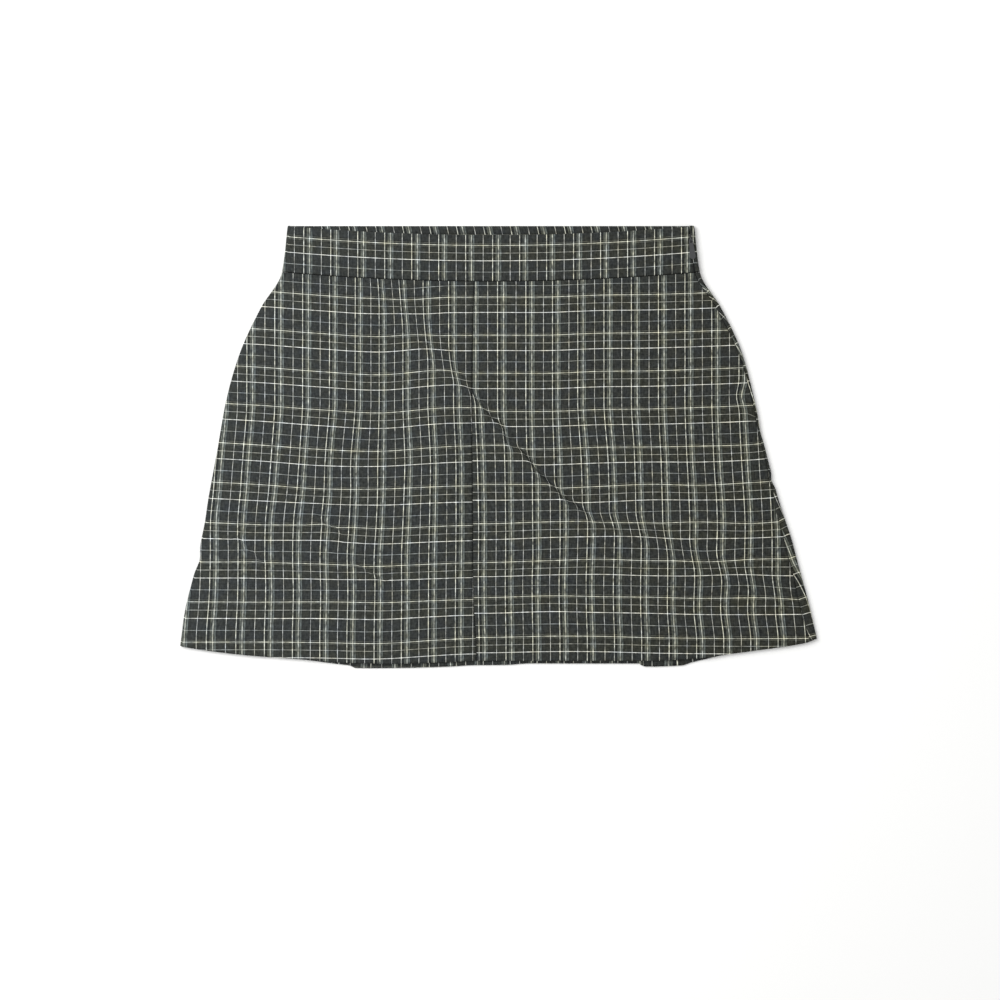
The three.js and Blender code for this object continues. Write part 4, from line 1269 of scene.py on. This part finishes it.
# Side zip
# A concealed zip in the right side seam: two woven tapes, with a nylon coil along the seam
# and a small slider of enamelled zinc at its closed end. Its pull lies down on the band.
ZIP_END = 14.0
TAPE_TOP = 172.0
TAPE_WIDTH = 11.0
TAPE_CLOTH = 0.6
TAPE_UNDERLAP = 0.6
# The tape's underside, and its step up, which starts and ends so far below the waist seam
TAPE_FLOOR = 1.3
TAPE_HEIGHT = 0.9
TAPE_LIFT = 0.6
TAPE_LIFT_START = 12.0
TAPE_LIFT_END = 4.0
TAPE_ROWS = 80
TAPE_COLUMNS = 8
TAPE_RIB = 0.8


def tape_material():
    """Tightly woven polyester tape: fine ribs across it, and a dull sheen."""
    material, tree, shader = new_material("woven_zip_tape", {"Roughness": 0.7, "Specular IOR Level": 0.3})
    cloth = add_node(tree, "ShaderNodeUVMap", uv_map="cloth")
    part = add_node(tree, "ShaderNodeSeparateXYZ", {"Vector": cloth.outputs["UV"]})
    add_ribs(tree, shader, part.outputs["Y"], TAPE_RIB, "#1D1E20", "#292A2C", 0.4)
    return material


def tape_floor(y):
    """The height of the tape's underside."""
    return TAPE_FLOOR + TAPE_LIFT * ease(y, WAIST_SEAM - TAPE_LIFT_START, WAIST_SEAM - TAPE_LIFT_END)


def make_tape():
    """Both tapes as one strip along the seam, under the front."""
    y = np.linspace(TAPE_TOP, ZIP_END, TAPE_ROWS + 1)[:, None]
    across = np.linspace(0, 1, TAPE_COLUMNS + 1)[None, :]
    x = side_seam(y) + TAPE_UNDERLAP - (1 - across) * TAPE_WIDTH
    outer = np.stack([x, y + 0 * x, tape_floor(y) + TAPE_HEIGHT + 0 * x], 2)
    flow = np.stack([x, -y + 0 * x], 2)
    return shell("zip_tape_cloth", outer, TAPE_CLOTH + 0 * x, flow, tape_material())


tape = make_tape()
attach(tape, "garment")
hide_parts("zip_tape")

# One turn of the coil, from its root COIL_HALF away to its head COIL_PAST beyond the middle. The
# lower leg lies a little back along the seam and the upper leg as much forward.
COIL_STEP = 1.4
COIL_HALF = 1.25
COIL_PAST = 0.4
COIL_WIRE = 0.17
COIL_RISE = 0.14
COIL_ROOT_SLANT = 0.2
COIL_HEAD_SLANT = 0.15
COIL_SIDES = 5
# The coil's place: in from the seam, down from the tape and clear of its ends
COIL_IN = 0.6
COIL_LOW = 0.05
COIL_CLEAR = 1.5


def nylon_material():
    """Black nylon wire: smooth, with a soft gloss along each turn."""
    material, tree, shader = new_material("black_nylon_coil", {"Base Color": linear("#191A1C"), "IOR": 1.53})
    place = add_node(tree, "ShaderNodeTexCoord").outputs["Object"]
    haze = add_node(tree, "ShaderNodeTexNoise", {"Vector": place, "Scale": 1800.0})
    gloss = add_node(tree, "ShaderNodeMapRange",
                     {"Value": haze.outputs["Fac"], "To Min": 0.3, "To Max": 0.45})
    tree.links.new(gloss.outputs["Result"], shader.inputs["Roughness"])
    return material


def coil_shape():
    """A turn of wire from each side, half a step apart, whose heads reach past each other."""
    points, faces = [], []
    for side in (-1, 1):
        shift = side * COIL_STEP / 4
        turn = [(shift - COIL_ROOT_SLANT, side * COIL_HALF, -COIL_RISE),
                (shift - COIL_HEAD_SLANT, -side * COIL_PAST, -COIL_RISE),
                (shift, -side * (COIL_PAST + COIL_WIRE), 0),
                (shift + COIL_HEAD_SLANT, -side * COIL_PAST, COIL_RISE),
                (shift + COIL_ROOT_SLANT, side * COIL_HALF, COIL_RISE)]
        first = len(points)
        for i, place in enumerate(turn):
            along = unit(np.array(turn[min(i + 1, len(turn) - 1)]) - np.array(turn[max(i - 1, 0)]))
            across = unit(np.cross(along, (1.0, 0, 0)))
            beyond = np.cross(along, across)
            for k in range(COIL_SIDES):
                angle = 2 * math.pi * k / COIL_SIDES
                spoke = across * math.cos(angle) + beyond * math.sin(angle)
                points.append(np.array(place) + COIL_WIRE * spoke)
        for i in range(len(turn) - 1):
            for k in range(COIL_SIDES):
                a = first + i * COIL_SIDES + k
                b = first + i * COIL_SIDES + (k + 1) % COIL_SIDES
                faces.append((a, b, b + COIL_SIDES, a + COIL_SIDES))
        last = first + (len(turn) - 1) * COIL_SIDES
        faces.append(tuple(first + k for k in reversed(range(COIL_SIDES))))
        faces.append(tuple(last + k for k in range(COIL_SIDES)))
    return plain_object("coil_turn", points, [], faces)


def coil_line():
    """Along the seam, under the tape, as on every concealed zip."""
    heights = np.linspace(ZIP_END + COIL_CLEAR, TAPE_TOP - COIL_CLEAR, TAPE_ROWS)
    return [(float(side_seam(y)) - COIL_IN, float(y), float(tape_floor(y)) - COIL_LOW) for y in heights]


coil = spaced_along("zip_coil", [coil_line()], coil_shape(), COIL_STEP, 0.0, nylon_material())
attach(coil, "garment")


def enamel_material():
    """Dark enamel on cast zinc: smooth, with a satin gloss and a trace of orange peel. The slider
    and its pull keep the solids' own shapes."""
    material, tree, shader = new_material("dark_enamelled_zinc", {"Roughness": 0.32, "Coat Weight": 0.3})
    place = add_node(tree, "ShaderNodeTexCoord")
    peel = add_node(tree, "ShaderNodeTexNoise",
                    {"Vector": place.outputs["Object"], "Scale": 1400.0, "Detail": 2.0})
    bump = add_node(tree, "ShaderNodeBump",
                    {"Height": peel.outputs["Fac"], "Strength": 0.15, "Distance": 0.0001})
    tone = add_node(tree, "ShaderNodeMix",
                    {"Factor": peel.outputs["Fac"], "A": linear("#2A2B2D"), "B": linear("#3A3B3D")},
                    data_type="RGBA")
    tree.links.new(tone.outputs["Result"], shader.inputs["Base Color"])
    tree.links.new(bump.outputs["Normal"], shader.inputs["Normal"])
    return material


enamel = enamel_material()
for node in ("zip_slider", "zip_pull"):
    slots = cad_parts[node].data.materials
    slots.clear()
    slots.append(enamel)
